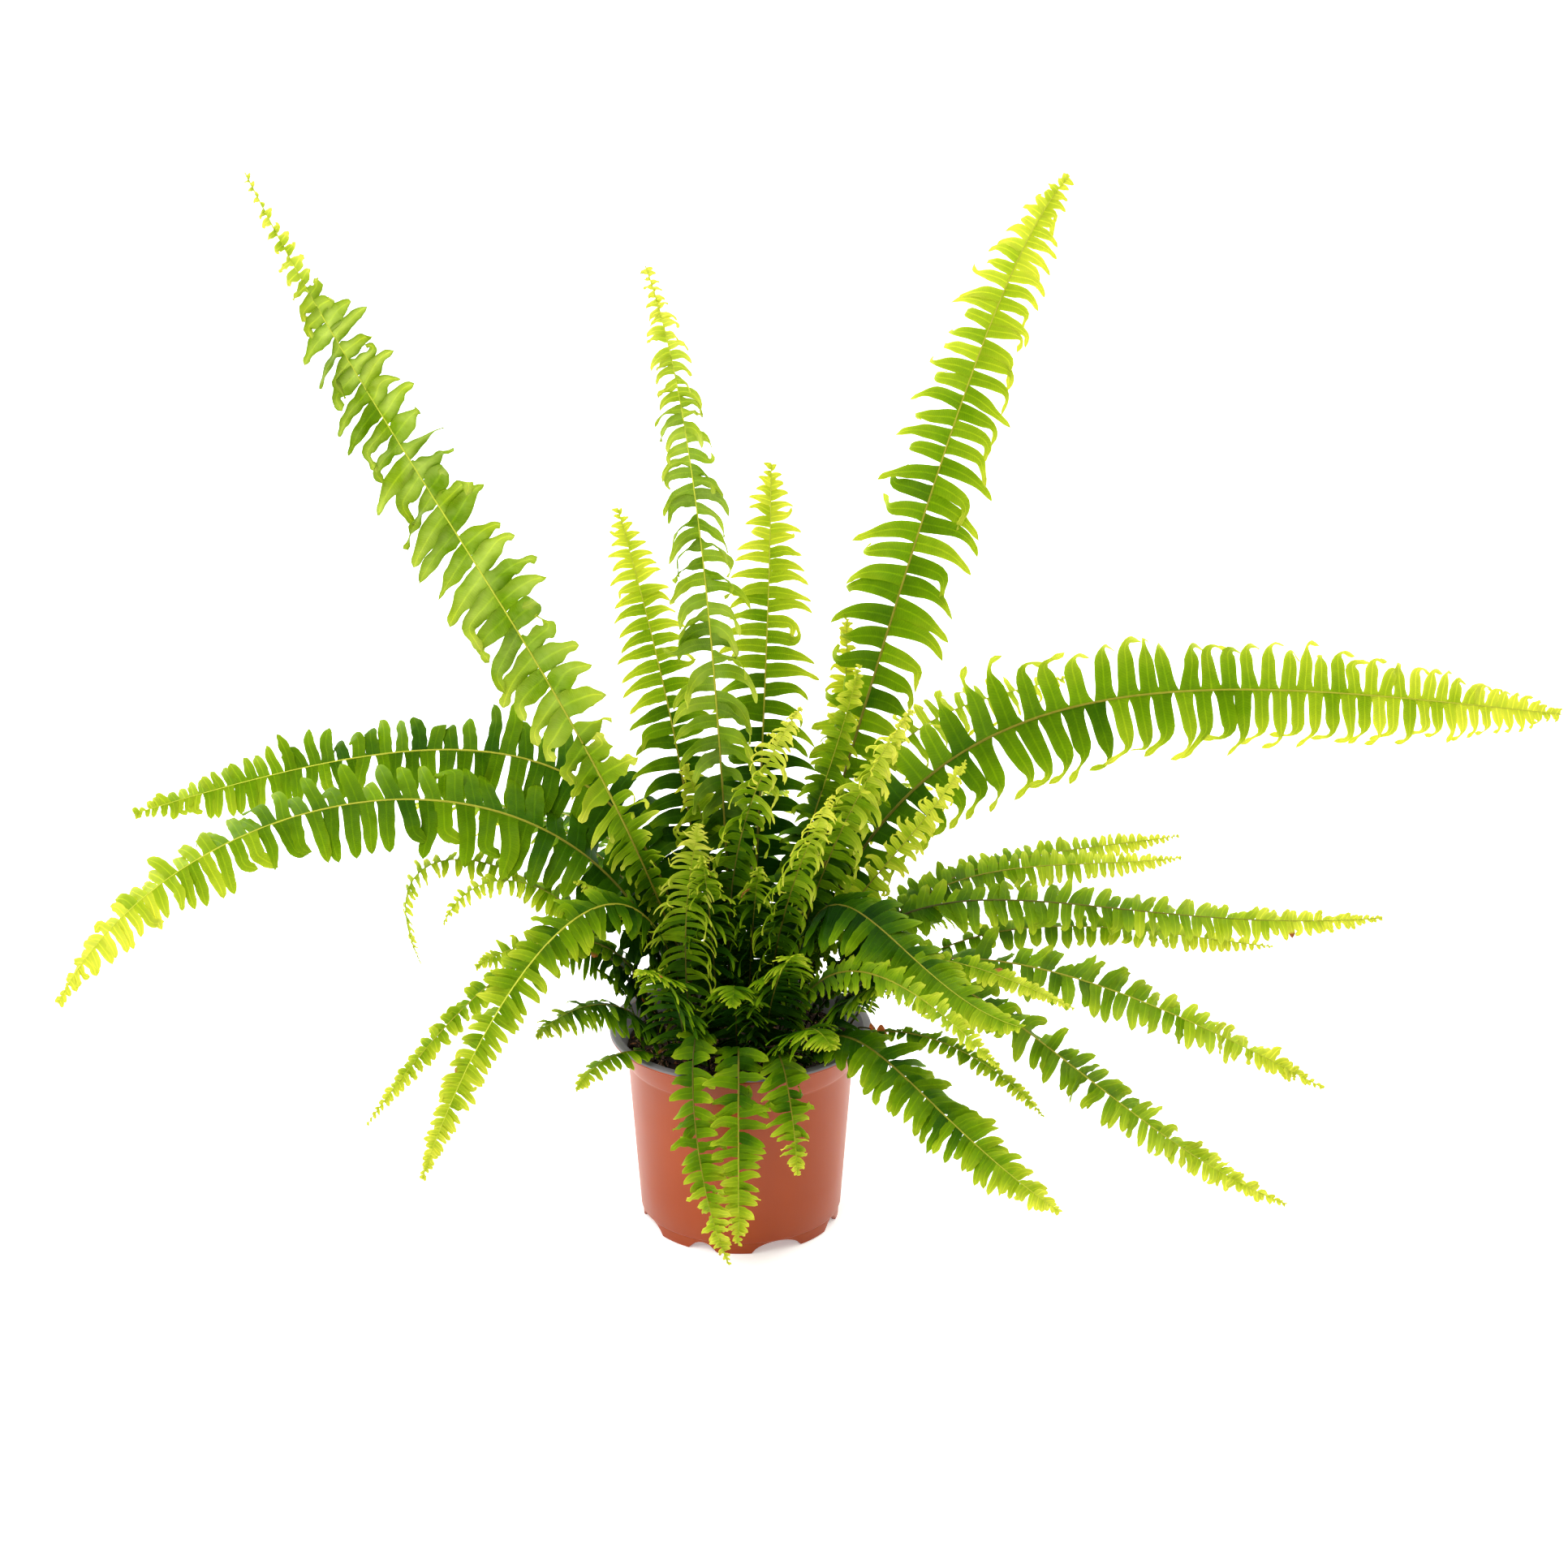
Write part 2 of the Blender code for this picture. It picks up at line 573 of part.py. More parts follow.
def runner_points(runner):
    """Centre line of a runner that leaves the soil, crosses the lip and hangs outside it."""
    over = POT_HEIGHT + 2.4
    places = (
        (runner.root, SOIL_TOP - RUNNER_DEPTH),
        (runner.root, SOIL_TOP + 1.0),
        (runner.root + 4.0, over - 1.0),
        (LIP_RADIUS - 3.5, over + 0.8),
        (LIP_RADIUS + 2.4, over - 0.8),
        (LIP_RADIUS + 4.8, over - 6.0),
        (runner.reach, runner.height),
    )
    count = len(places) - 1
    return [
        around(runner.heading, out, up, runner.sway * (index / count) ** 2)
        for index, (out, up) in enumerate(places)
    ]


def make_runner(runner, finish):
    line = runner_points(runner)
    points = []
    faces = []
    side = around(runner.heading, 0.0, 0.0, 1.0)
    for index, point in enumerate(line):
        before = line[max(0, index - 1)]
        after = line[min(len(line) - 1, index + 1)]
        along = (after - before).normalized()
        up = along.cross(side).normalized()
        across = up.cross(along).normalized()
        half = RUNNER_WIDTH / 2
        for a, b in ((1, 1), (1, -1), (-1, -1), (-1, 1)):
            points.append(point + across * half * a + up * half * b)
    for ring in range(len(line) - 1):
        low = 4 * ring
        for a in range(4):
            b = (a + 1) % 4
            faces += [(low + a, low + b, low + 4 + b), (low + a, low + 4 + b, low + 4 + a)]
    faces.append((0, 1, 2, 3))
    last = 4 * (len(line) - 1)
    faces.append((last, last + 1, last + 2, last + 3))
    return add_object(runner.name, points, faces, finish)


def claim_object(name, thing, crowd):
    """Puts a finished object in the crowd."""
    points = [vertex.co / MM for vertex in thing.data.vertices]
    faces = [tuple(face.vertices) for face in thing.data.polygons]
    crowd.add(name, points, faces)


def centre_on_origin(things):
    """Moves the whole plant so that its box stands centred over the origin."""
    corners = [vertex.co for thing in things for vertex in thing.data.vertices]
    low, high = box_of(corners)
    shift = Vector((-(low[0] + high[0]) / 2, -(low[1] + high[1]) / 2, 0.0))
    for thing in things:
        thing.data.transform(Matrix.Translation(shift))


def main():
    clear_scene()
    pot_finish = material("pot", (0.45, 0.10, 0.05), 0.45)
    soil_finish = material("soil", (0.03, 0.018, 0.01), 0.95)
    leaf_finish = material("leaf", (0.07, 0.20, 0.02), 0.5)
    runner_finish = material("runner", (0.10, 0.05, 0.02), 0.7)

    arches = [Arch(frond) for frond in FRONDS]
    holes = []
    for frond, arch in zip(FRONDS, arches):
        start, direction = arch.at(0.0)
        depth = ROOT_DEPTH / math.sin(math.radians(frond.launch)) + SEAT_GAP
        holes.append(hole(start, direction, math.hypot(STALK_WIDTH, STALK_THICKNESS) / 2, depth))
    for runner in RUNNERS:
        start = around(runner.heading, runner.root, SOIL_TOP)
        holes.append(hole(start, Vector((0, 0, 1)), RUNNER_WIDTH * 0.71, RUNNER_DEPTH + SEAT_GAP))

    things = [make_pot(pot_finish), make_soil(soil_finish, holes)]
    runners = [make_runner(runner, runner_finish) for runner in RUNNERS]
    crowd = Crowd()
    for thing in things + runners:
        claim_object(thing.name, thing, crowd)
    for frond, arch in zip(FRONDS, arches):
        claim_rib(frond, arch, crowd)
    rng = random.Random(SEED)
    for frond, arch in zip(FRONDS, arches):
        things.append(make_frond(frond, arch, crowd, rng, leaf_finish))
    centre_on_origin(things + runners)


main()
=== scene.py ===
"""Looks of the potted fern: fine fronds, pot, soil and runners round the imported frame.

Lengths in the tables are millimetres and angles are degrees, as in the part. Each fine frond follows
the same arch as its plain node and replaces it.
"""

import json
import math
from collections import namedtuple
from itertools import product

import bmesh
import bpy
import numpy as np
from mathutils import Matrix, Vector, noise

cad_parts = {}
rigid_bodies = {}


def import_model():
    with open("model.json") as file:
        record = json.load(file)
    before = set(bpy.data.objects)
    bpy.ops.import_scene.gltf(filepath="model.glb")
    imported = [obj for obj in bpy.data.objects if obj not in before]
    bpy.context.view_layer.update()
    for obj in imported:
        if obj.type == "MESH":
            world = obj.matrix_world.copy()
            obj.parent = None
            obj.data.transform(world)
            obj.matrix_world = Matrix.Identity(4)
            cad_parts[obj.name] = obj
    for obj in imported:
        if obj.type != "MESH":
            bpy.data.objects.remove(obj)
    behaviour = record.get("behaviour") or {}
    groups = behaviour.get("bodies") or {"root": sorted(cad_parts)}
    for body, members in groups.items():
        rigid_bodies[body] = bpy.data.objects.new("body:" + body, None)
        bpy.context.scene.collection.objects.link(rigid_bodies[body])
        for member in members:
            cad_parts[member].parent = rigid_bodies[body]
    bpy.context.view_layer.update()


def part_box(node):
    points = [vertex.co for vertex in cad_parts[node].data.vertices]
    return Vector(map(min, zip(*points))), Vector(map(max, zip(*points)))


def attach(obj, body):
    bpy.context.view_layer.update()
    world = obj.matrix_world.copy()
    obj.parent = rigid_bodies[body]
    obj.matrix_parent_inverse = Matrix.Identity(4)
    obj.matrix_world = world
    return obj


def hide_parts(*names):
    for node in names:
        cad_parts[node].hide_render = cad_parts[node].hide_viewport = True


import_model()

MM = 0.001

# Pot and soil, as in the part.
POT_HEIGHT = 94.0
LIP_RADIUS = 60.0
LIP_THICKNESS = 2.6
COLLAR_HEIGHT = 15.0
COLLAR_TOP_RADIUS = 56.0
COLLAR_FOOT_RADIUS = 52.4
WALL_TOP_RADIUS = 51.6
WALL_FOOT_RADIUS = 46.3
FOOT_HEIGHT = 6.0
FOOT_RADIUS = 45.4
POT_WALL = 1.2
STEP_HEIGHT = POT_HEIGHT - COLLAR_HEIGHT
FLOOR_HEIGHT = FOOT_HEIGHT + 0.4
POT_SIDES = 160
FEET = 8
# Half span in degrees and height of a wide notch and of a narrow one.
NOTCHES = ((15.0, 5.0), (7.5, 4.2))
DRAIN_RADIUS = 3.5
DRAIN_CIRCLE = 30.0
SOIL_TOP = 86.0
SOIL_LUMPS = 2.4
SOIL_SIDES = 150
SOIL_RINGS = 46
SOIL_CRUMBS = 900
SOIL_FIBRES = 90
FIBRE_STEPS = 9
SEAT_GAP = 0.3
ROOT_DEPTH = 10.0
RUNNER_DEPTH = 6.0

Frond = namedtuple(
    "Frond",
    "name heading root launch reach height tip width side bare roll hold ease taper droop",
    defaults=(0, 0.25, 0, 0.4, 0.35, 2.0, 10),
)

# The part's rows without its plain leaflet pairs: name, heading, root radius, launch angle, tip's
# reach, height and angle, half width; then side sway, bare share, roll of the blade, the two handles
# of the arch, taper and droop.
FRONDS = (
    Frond("upper_left", 205, 14, 74, 212, 500, 66, 30, bare=0.3, roll=68, taper=1.6),
    Frond("upper_right", 35, 15, 70, 181, 464, 36, 34, bare=0.3, roll=45, hold=0.6, ease=0.12),
    Frond("upper_middle", 215, 3, 88, 46, 450, 68, 29, bare=0.24, roll=50, ease=0.2, taper=1.5),
    Frond("centre_tall", 70, 12, 84, 42, 348, 88, 30, bare=0.2, roll=20),
    Frond("centre_left", 150, 12, 84, 62, 330, 72, 26, bare=0.2, roll=-50),
    Frond("right_long", 12, 22, 78, 392, 216, -10, 36, bare=0.17, roll=62, hold=0.5, ease=0.5),
    Frond("left_upper", 172, 20, 86, 282, 182, -20, 26, bare=0.13, roll=-58, hold=0.6, ease=0.6),
    Frond("left_lower", 186, 24, 82, 306, 118, -62, 27, bare=0.12, roll=-40, hold=0.62, ease=0.45),
    Frond("right_low_1", 10, 32, 72, 205, 173, 6, 11, bare=0.17, roll=45, hold=0.5),
    Frond("right_low_2", 0, 38, 76, 199, 176, 8, 12, bare=0.2, roll=45, hold=0.58),
    Frond("right_low_3", -7, 27, 74, 287, 161, 8, 16, bare=0.15, roll=42, hold=0.46, ease=0.5),
    Frond("right_low_4", -2, 45, 62, 241, 136, -6, 11, bare=0.3, roll=40, hold=0.45),
    Frond("right_low_5", -15, 33, 68, 266, 94, -25, 17, bare=0.16, roll=38, hold=0.37, ease=0.5),
    Frond("right_low_6", -24, 38, 72, 260, 56, -12, 16, bare=0.18, roll=36, hold=0.55, ease=0.45),
    Frond("right_thin", -31, 32, 74, 169, 140, -14, 9, bare=0.25, roll=30, hold=0.55),
    Frond("right_curly", 30, 27, 80, 175, 232, 4, 13, bare=0.3, roll=40, hold=0.75),
    Frond("front_right_broad", -42, 27, 84, 162, 141, 5, 24, bare=0.14, roll=20, hold=1.05, ease=0.5),
    Frond("front_right_edge", -53, 31, 76, 182, 138, -22, 13, bare=0.18, roll=62, hold=0.55),
    Frond("front_right_low", -47, 42, 64, 199, 73, -10, 20, bare=0.1, roll=25, hold=0.4, ease=0.55),
    Frond("front_right_small", -34, 45, 58, 160, 90, -42, 8, bare=0.3, roll=20),
    Frond("front_hanging_middle", -90, 40, 74, 86, 26, -84, 17, bare=0.1, hold=0.7, ease=0.75),
    Frond("front_hanging_left", -112, 36, 76, 90, 21, -74, 15, side=32, bare=0.14, hold=0.8, ease=0.6),
    Frond("front_hanging_right", -72, 42, 74, 84, 57, -80, 15, bare=0.14, hold=0.8, ease=0.7),
    Frond("left_hooked", 180, 37, 72, 145, 124, -112, 9, bare=0.2, roll=-30, hold=0.95, ease=0.75),
    Frond("left_small", 191, 39, 74, 134, 154, -66, 9, bare=0.25, roll=-30, hold=0.8),
    Frond("left_middle", 197, 33, 76, 122, 138, -28, 18, bare=0.14, roll=-30, hold=0.6),
    Frond("front_left_arched", 218, 28, 84, 173, 68, -66, 22, bare=0.14, roll=-30, hold=1.0, ease=0.75),
    Frond("front_left_thin", 206, 38, 80, 181, 81, -50, 12, bare=0.22, roll=-25, hold=0.9),
    Frond("left_rim", 224, 45, 64, 99, 93, -50, 8, bare=0.3, hold=0.4),
    Frond("left_sprout", 200, 47, 84, 70, 133, 30, 7, bare=0.6),
    Frond("front_left_bright", 236, 35, 78, 31, 202, 112, 16, bare=0.15, roll=35),
    Frond("centre_curl", 178, 12, 88, 24, 220, 70, 14, bare=0.2, roll=-80),
    Frond("centre_leaning", 250, 12, 84, 30, 262, 80, 15, side=40, bare=0.18, roll=20),
    Frond("right_bright", -30, 19, 80, 86, 261, 58, 16, bare=0.2, roll=-50),
    Frond("front_bright", -60, 20, 82, 81, 232, 54, 15, bare=0.18, roll=-20),
    Frond("right_yellow", 50, 24, 76, 75, 273, 96, 11, bare=0.3, roll=40),
    Frond("right_yellow_low", -15, 20, 78, 103, 232, 62, 11, bare=0.3, roll=80),
    Frond("young_right", 16, 10, 84, 56, 262, 76, 15, bare=0.2, roll=60),
    Frond("young_right_front", -8, 13, 82, 72, 238, 60, 15, bare=0.2, roll=80),
    Frond("young_front_left", 248, 23, 82, 42, 192, 74, 17, bare=0.12, roll=20),
    Frond("young_front", 284, 14, 84, 38, 186, 64, 17, bare=0.14, roll=-10),
    Frond("young_front_right", 290, 29, 74, 74, 158, 30, 17, bare=0.12),
    Frond("young_front_low", 268, 30, 78, 66, 132, -50, 15, bare=0.12, hold=0.7),
    Frond("young_left_front", 239, 43, 80, 82, 150, 10, 16, bare=0.12),
    Frond("young_left", 202, 25, 78, 78, 176, 20, 16, bare=0.14),
    Frond("young_low_right", 320, 39, 68, 96, 140, 10, 16, bare=0.12),
    Frond("young_low_left", 213, 42, 76, 106, 114, -36, 16, bare=0.12, hold=0.6),
    Frond("young_low_front", 297, 43, 76, 90, 118, -30, 15, bare=0.12, hold=0.5),
    Frond("back_right", 60, 33, 74, 186, 150, -30, 18, bare=0.14, hold=0.5),
    Frond("back_middle", 86, 26, 76, 205, 128, -42, 19, bare=0.14, hold=0.5),
    Frond("back_left", 128, 30, 74, 216, 122, -45, 18, bare=0.14, hold=0.5),
    Frond("back_left_upper", 146, 24, 76, 196, 160, -22, 17, bare=0.14, hold=0.5),
    Frond("back_hanging", 97, 39, 74, 112, 52, -76, 13, bare=0.16, hold=0.7, ease=0.6),
    Frond("back_right_low", 40, 42, 66, 156, 98, -50, 14, bare=0.16),
    Frond("back_left_low", 114, 41, 70, 140, 88, -60, 13, bare=0.16, hold=0.5),
)

Runner = namedtuple("Runner", "name heading root reach height sway")
RUNNERS = (
    Runner("runner_1", -12, 49.5, 70, 74, 4),
    Runner("runner_2", -24, 48.5, 68, 80, -3),
)

# What the fine frond adds to its row: leaflet pairs; colour from 0, dark, to 1, lime, at the foot and
# at the tip, and where it turns; sag of a leaflet, its curl under, share of hooked tips, leaflet width
# to spacing, skew of the two sides, twist, colour of the rib from 0, brown, to 1, yellow; how pointed
# the leaflets are, how thin their tails, their disorder, their length against the plain ones, how
# milky the green is, their lean towards the frond's tip, the breadth of their feet, their tilt, by
# which each lies a little over the one before, and how much lighter a leaflet grows towards its tip.
Look = namedtuple(
    "Look",
    "pairs age ripe turn sag curl hook slim skew twist stem point tail loose long pale lean foot tilt gain",
    defaults=(
        0.3, 0.95, 0.25, 0.6, 0.3, 0.1, 0.9, 0.0, 0.25, 0.6, 0.4, 0.2, 0.2, 1.0, 0.0, 0.08, 0.4, 0.22, 0.42,
    ),
)

# Looks that several fronds share, some with a few changes.
BACK = Look(36, 0.38, 0.9, 0.35, loose=0.4)
YOUNG = Look(38, 0.44, 0.85, 0.3, 1.5, curl=0.9, hook=0.35, slim=1.0, twist=0.5, tail=0.4, loose=1.0,
             point=0.5, long=1.2)
LOW = YOUNG._replace(age=0.42, ripe=0.68, long=1.25, hook=0.1, curl=0.4, sag=0.8, slim=1.15, tail=0.1,
                     point=0.3, loose=0.6)
LOW_HEIGHT = 165.0
CENTRE = Look(29, 0.36, 1.0, 0.15, 1.0, slim=0.85, stem=0.7, point=0.9, hook=0.2, tail=0.4, foot=0.5,
              long=0.94)
LEFT = Look(46, 0.38, 1.25, 0.32, 0.55, hook=0.2, slim=0.84, skew=-0.12, stem=0.8, point=0.05, loose=0.42,
            long=1.05, foot=0.8, tail=0.0, tilt=0.12, twist=0.2, gain=0.22)
LEFT_THIN = Look(30, 0.6, 0.9, slim=0.62, loose=0.5, long=1.3, point=0.3)
RIGHT = Look(38, 0.44, 1.1, 0.25, 0.5, stem=0.5, pale=0.15, point=0.2, slim=0.85, loose=0.3)
RIGHT_LOOSE = Look(40, 0.4, 1.08, 0.3, loose=0.8, pale=0.15, point=0.1, slim=0.96, lean=0.3, twist=0.5)
HANGING = Look(26, 0.62, 1.08, 0.4, loose=0.8, slim=1.0, twist=0.5)
CURLY = Look(36, 0.56, 1.05, 0.25, 1.9, curl=1.4, slim=0.85, hook=0.6, tail=0.5, loose=1.0, long=1.35)
CURLY_POINTED = CURLY._replace(pairs=38, sag=2.2, slim=0.8, hook=0.5, point=0.9, long=1.5)
YELLOW = CURLY._replace(pairs=32, age=0.85, sag=1.4, curl=1.2, tail=0.6)

LOOKS = {
    "upper_left": Look(37, 0.57, 0.9, 0.45, 0.8, hook=0.5, slim=1.02, skew=0.42, twist=0.45, stem=1.0,
                       point=0.45, tail=0.65, loose=0.4, long=1.05, pale=0.85, foot=0.45, tilt=0.3),
    "upper_right": Look(37, 0.45, 0.98, 0.15, 1.15, hook=0.45, slim=0.84, stem=0.55, point=0.75, tail=0.6,
                        loose=0.15, foot=0.75, tilt=0.1, twist=0.15, gain=0.36),
    "upper_middle": Look(42, 0.5, 1.1, 0.45, 2.3, hook=0.3, slim=0.82, twist=0.6, stem=0.9, point=0.8,
                         tail=0.45, loose=0.7, pale=0.4, foot=0.5, long=0.95),
    "centre_tall": CENTRE._replace(age=0.34, ripe=1.02),
    "centre_left": CENTRE,
    "right_long": Look(43, 0.39, 1.02, 0.15, 0.25, hook=1.0, slim=0.78, stem=0.55, point=0.35, tail=1.0,
                       loose=0.12, long=1.1, foot=1.0, tilt=0.08, twist=0.15),
    "left_upper": LEFT._replace(pairs=44, age=0.37, ripe=0.8, turn=0.4, skew=-0.05, long=1.0, gain=0.2),
    "left_lower": LEFT,
    "left_middle": Look(34, 0.36, 0.8, loose=0.6),
    "right_low_1": RIGHT,
    "right_low_2": RIGHT,
    "right_low_3": Look(52, 0.42, 1.12, 0.3, 0.5, stem=0.15, loose=0.65, pale=0.12, point=0.15, slim=0.96,
                        lean=0.2, twist=0.4),
    "right_low_4": Look(30, 0.46, 1.1, 0.2, loose=0.6, pale=0.15, point=0.2),
    "right_low_5": RIGHT_LOOSE,
    "right_low_6": RIGHT_LOOSE._replace(pairs=48, turn=0.35),
    "right_thin": Look(34, 0.42, 1.0, loose=0.5, point=0.2, slim=1.0),
    "right_curly": Look(26, 0.68, 0.92, 0.25, 0.5, hook=0.9, slim=0.6, tail=0.7, long=1.75),
    "front_right_broad": Look(36, 0.31, 0.58, 0.25, 0.7, stem=0.5, point=0.2, slim=1.05, foot=0.5),
    "front_right_edge": Look(40, 0.5, 0.85, 0.2, 1.2, hook=0.3, loose=0.8, long=0.85, slim=0.8, pale=0.1),
    "front_right_low": Look(34, 0.38, 1.02, 0.45, 0.8, point=0.2, loose=0.6, slim=1.08, lean=0.25,
                            twist=0.4),
    "front_right_small": Look(26, 0.45, 0.85, loose=0.5),
    "front_hanging_middle": HANGING._replace(pairs=24, age=0.6, stem=0.8),
    "front_hanging_left": HANGING,
    "front_hanging_right": HANGING._replace(pairs=19, age=0.58, ripe=1.05, loose=0.7),
    "left_hooked": LEFT_THIN,
    "left_small": LEFT_THIN._replace(pairs=24),
    "front_left_arched": Look(50, 0.38, 0.98, 0.15, 0.5, slim=0.98, stem=1.0, point=0.2, loose=0.45,
                              long=0.78, lean=0.2, twist=0.4, foot=0.45),
    "front_left_thin": Look(34, 0.52, 0.95, 0.3, 0.3, loose=0.3, slim=1.0, point=0.2, long=0.85, lean=0.25,
                            twist=0.4, foot=0.2),
    "left_rim": Look(17, 0.55, 0.9, point=0.0, loose=0.4, long=1.3, slim=1.0),
    "left_sprout": Look(9, 0.5, 0.75, point=0.0, loose=0.4),
    "front_left_bright": CURLY_POINTED._replace(age=0.66, turn=0.2, sag=1.7, curl=1.0, hook=0.4, loose=0.5,
                                                long=1.4),
    "centre_curl": CURLY._replace(pairs=34, age=0.54, ripe=1.0, sag=1.8, tail=0.6, long=1.8),
    "centre_leaning": CURLY_POINTED,
    "right_bright": CURLY,
    "front_bright": CURLY_POINTED._replace(age=0.6, loose=0.7, long=1.25),
    "right_yellow": YELLOW,
    "right_yellow_low": YELLOW._replace(long=1.3),
}


def look_of(frond):
    """The frond's own look, or the one of its kind: young, low or back."""
    if frond.name in LOOKS:
        return LOOKS[frond.name]
    if frond.name.startswith("young"):
        return LOW if frond.height < LOW_HEIGHT else YOUNG
    return BACK


# Leaflets: the fronds with a narrow end, and how much closer leaflets stand towards a tip.
NARROW_TIPS = ("upper_left",)
SPACING_TAPER = 0.52
# On the stalk below the blade small leaflets start at this share of it, this far apart.
STALK_FOOT = 0.4
STALK_SPACING = 5.0
LEAF_THICKNESS = 0.3
# Leaflets longer than the first and shorter than the second have grids of their own: rows, columns.
LARGE_LEAFLET = 16.0
SMALL_LEAFLET = 6.0
GRIDS = {"large": (14, 4), "middle": (8, 4), "small": (6, 2)}
ROW_CROWDING = 0.88
# The share of dry tips among the leaflets that are not large and stand lower than this.
DRY_SHARE = 0.009
DRY_HEIGHT = 185.0

# Ribs: steps along a broad frond's and along a narrow one's, radius at the foot and its taper.
BROAD_FROND = 15
BROAD_RIB_STEPS = 70
RIB_STEPS = 44
RIB_SIDES = 6
RIB_RADIUS = 0.42
RIB_RADIUS_PER_WIDTH = 0.011
RIB_TAPER = 0.72
STALK_SCALES = 34
SCALY_SHARE = 0.9

# Runners: radius at the root and at the tip, hairs, and the points where a dried leaflet hangs.
RUNNER_RADII = (0.55, 0.3)
RUNNER_STEPS = 61
RUNNER_SIDES = 8
RUNNER_HAIRS = 22
HAIR_RADII = (0.12, 0.04)
HAIR_STEPS = 4
SCRAPS = (36, 43)

FROND_SEED = 100
RUNNER_SEED = 60
SOIL_SEED = 31

# The crown, where painted shade darkens the leaves: its reach and height, and how far the painted shade
# moves the colour of the leaflets and of the ribs.
CROWN_REACH = 66.0
CROWN_HEIGHT = 190.0
CROWN_PAINTED_SHADE = 0.72
CROWN_RIB_PAINTED_SHADE = 0.9

# Edges sharper than this are not shaded smooth, on the pot and elsewhere.
POT_SHARP_ANGLE = 38.0
SHARP_ANGLE = 55.0

pot_low, pot_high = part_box("pot")
AXIS = Vector(((pot_low.x + pot_high.x) / 2, (pot_low.y + pot_high.y) / 2, 0.0))


def unit(rows):
    return rows / np.linalg.norm(rows, axis=-1, keepdims=True)


def smooth(x):
    """A soft step from 0 to 1."""
    x = np.clip(x, 0.0, 1.0)
    return x * x * (3.0 - 2.0 * x)


def polar(radius, turn):
    return np.array((radius * math.cos(turn), radius * math.sin(turn)))


def around(heading, out, up, side=0.0):
    """The point at a reach, height and sideways distance in the upright plane of a heading."""
    turn = math.radians(heading)
    x = out * math.cos(turn) - side * math.sin(turn)
    y = out * math.sin(turn) + side * math.cos(turn)
    return np.array((x, y, up))


class Arch:
    """The rib's centre line of one frond, read at distances along its length in millimetres."""

    STEPS = 160

    def __init__(self, frond):
        start = np.array((frond.root, SOIL_TOP))
        end = np.array((frond.reach, frond.height))
        chord = np.linalg.norm(end - start)
        launch = math.radians(frond.launch)
        tip = math.radians(frond.tip)
        rising = start + frond.hold * chord * polar(1.0, launch)
        falling = end - frond.ease * chord * polar(1.0, tip)
        points = []
        for step in range(self.STEPS + 1):
            t = step / self.STEPS
            s = 1.0 - t
            flat = s**3 * start + 3 * s * s * t * rising + 3 * s * t * t * falling + t**3 * end
            points.append(around(frond.heading, flat[0], flat[1], frond.side * t**3))
        points = np.array(points)
        first = unit(points[1] - points[0])
        buried = ROOT_DEPTH / math.sin(launch)
        self.points = np.vstack((points[0] - first * buried, points))
        gaps = np.linalg.norm(np.diff(self.points, axis=0), axis=1)
        self.lengths = np.concatenate(((0.0,), np.cumsum(gaps))) - buried
        self.length = self.lengths[-1]
        self.tangents = unit(np.gradient(self.points, self.lengths, axis=0))
        self.across = around(frond.heading, 0.0, 0.0, 1.0)
        self.roll = math.radians(frond.roll)
        self.bare = frond.bare

    def frame(self, distance):
        """Points, growing directions, side directions and upper directions of the blade."""
        distance = np.asarray(distance, float)
        tables = np.hstack((self.points, self.tangents)).T
        read = np.stack([np.interp(distance, self.lengths, table) for table in tables], -1)
        point, along = read[..., :3], unit(read[..., 3:])
        share = np.clip(distance / (self.bare * self.length), 0.0, 1.0)
        side = unit(self.across - along * (along @ self.across)[..., None])
        up = np.cross(along, side)
        turn = (self.roll * share)[..., None]
        rolled = side * np.cos(turn) + up * np.sin(turn)
        return point, along, rolled, np.cross(along, rolled)


def half_width(frond, u):
    """Leaflet length at share u of the leafy stretch."""
    shoulder = 0.6 + 0.4 * np.minimum(1.0, u / 0.2)
    narrow = 1.0 - 0.45 * smooth((u - 0.64) / 0.12) if frond.name in NARROW_TIPS else 1.0
    return frond.width * shoulder * narrow * np.maximum(0.14, (1.0 - u**frond.taper) ** 0.8)


def station_share(u):
    return u * (1.0 + SPACING_TAPER) - SPACING_TAPER * u * u


def new_object(name, data):
    made = bpy.data.objects.new(name, data)
    bpy.context.scene.collection.objects.link(made)
    return made


# What the materials read at each point.
MARKS = ("age", "leaf_u", "leaf_v", "tone", "dry", "under", "pale")


class Builder:
    """Gathers quads and their attributes for one mesh."""

    def __init__(self):
        self.points = []
        self.quads = []
        self.materials = []
        self.marks = {name: [] for name in MARKS}
        self.count = 0

    def add(self, points, quads, material, **marks):
        self.points.append(points)
        self.quads.append(quads + self.count)
        self.materials.append(np.broadcast_to(np.asarray(material, np.int32), (len(quads),)))
        for name in MARKS:
            value = marks.get(name, 0.0)
            self.marks[name].append(np.broadcast_to(np.asarray(value, np.float32), (len(points),)))
        self.count += len(points)

    def mesh(self, name, finishes):
        points = np.concatenate(self.points).astype(np.float32) * MM + np.array(AXIS, np.float32)
        made = bpy.data.meshes.new(name)
        made.from_pydata(points, [], np.concatenate(self.quads))
        made.polygons.foreach_set("material_index", np.concatenate(self.materials))
        for finish in finishes:
            made.materials.append(finish)
        for mark, values in self.marks.items():
            layer = made.attributes.new(mark, "FLOAT", "POINT")
            layer.data.foreach_set("value", np.concatenate(values).astype(np.float32))
        made.validate(clean_customdata=False)
        made.shade_smooth()
        made.set_sharp_from_angle(angle=math.radians(SHARP_ANGLE))
        return new_object(name, made)


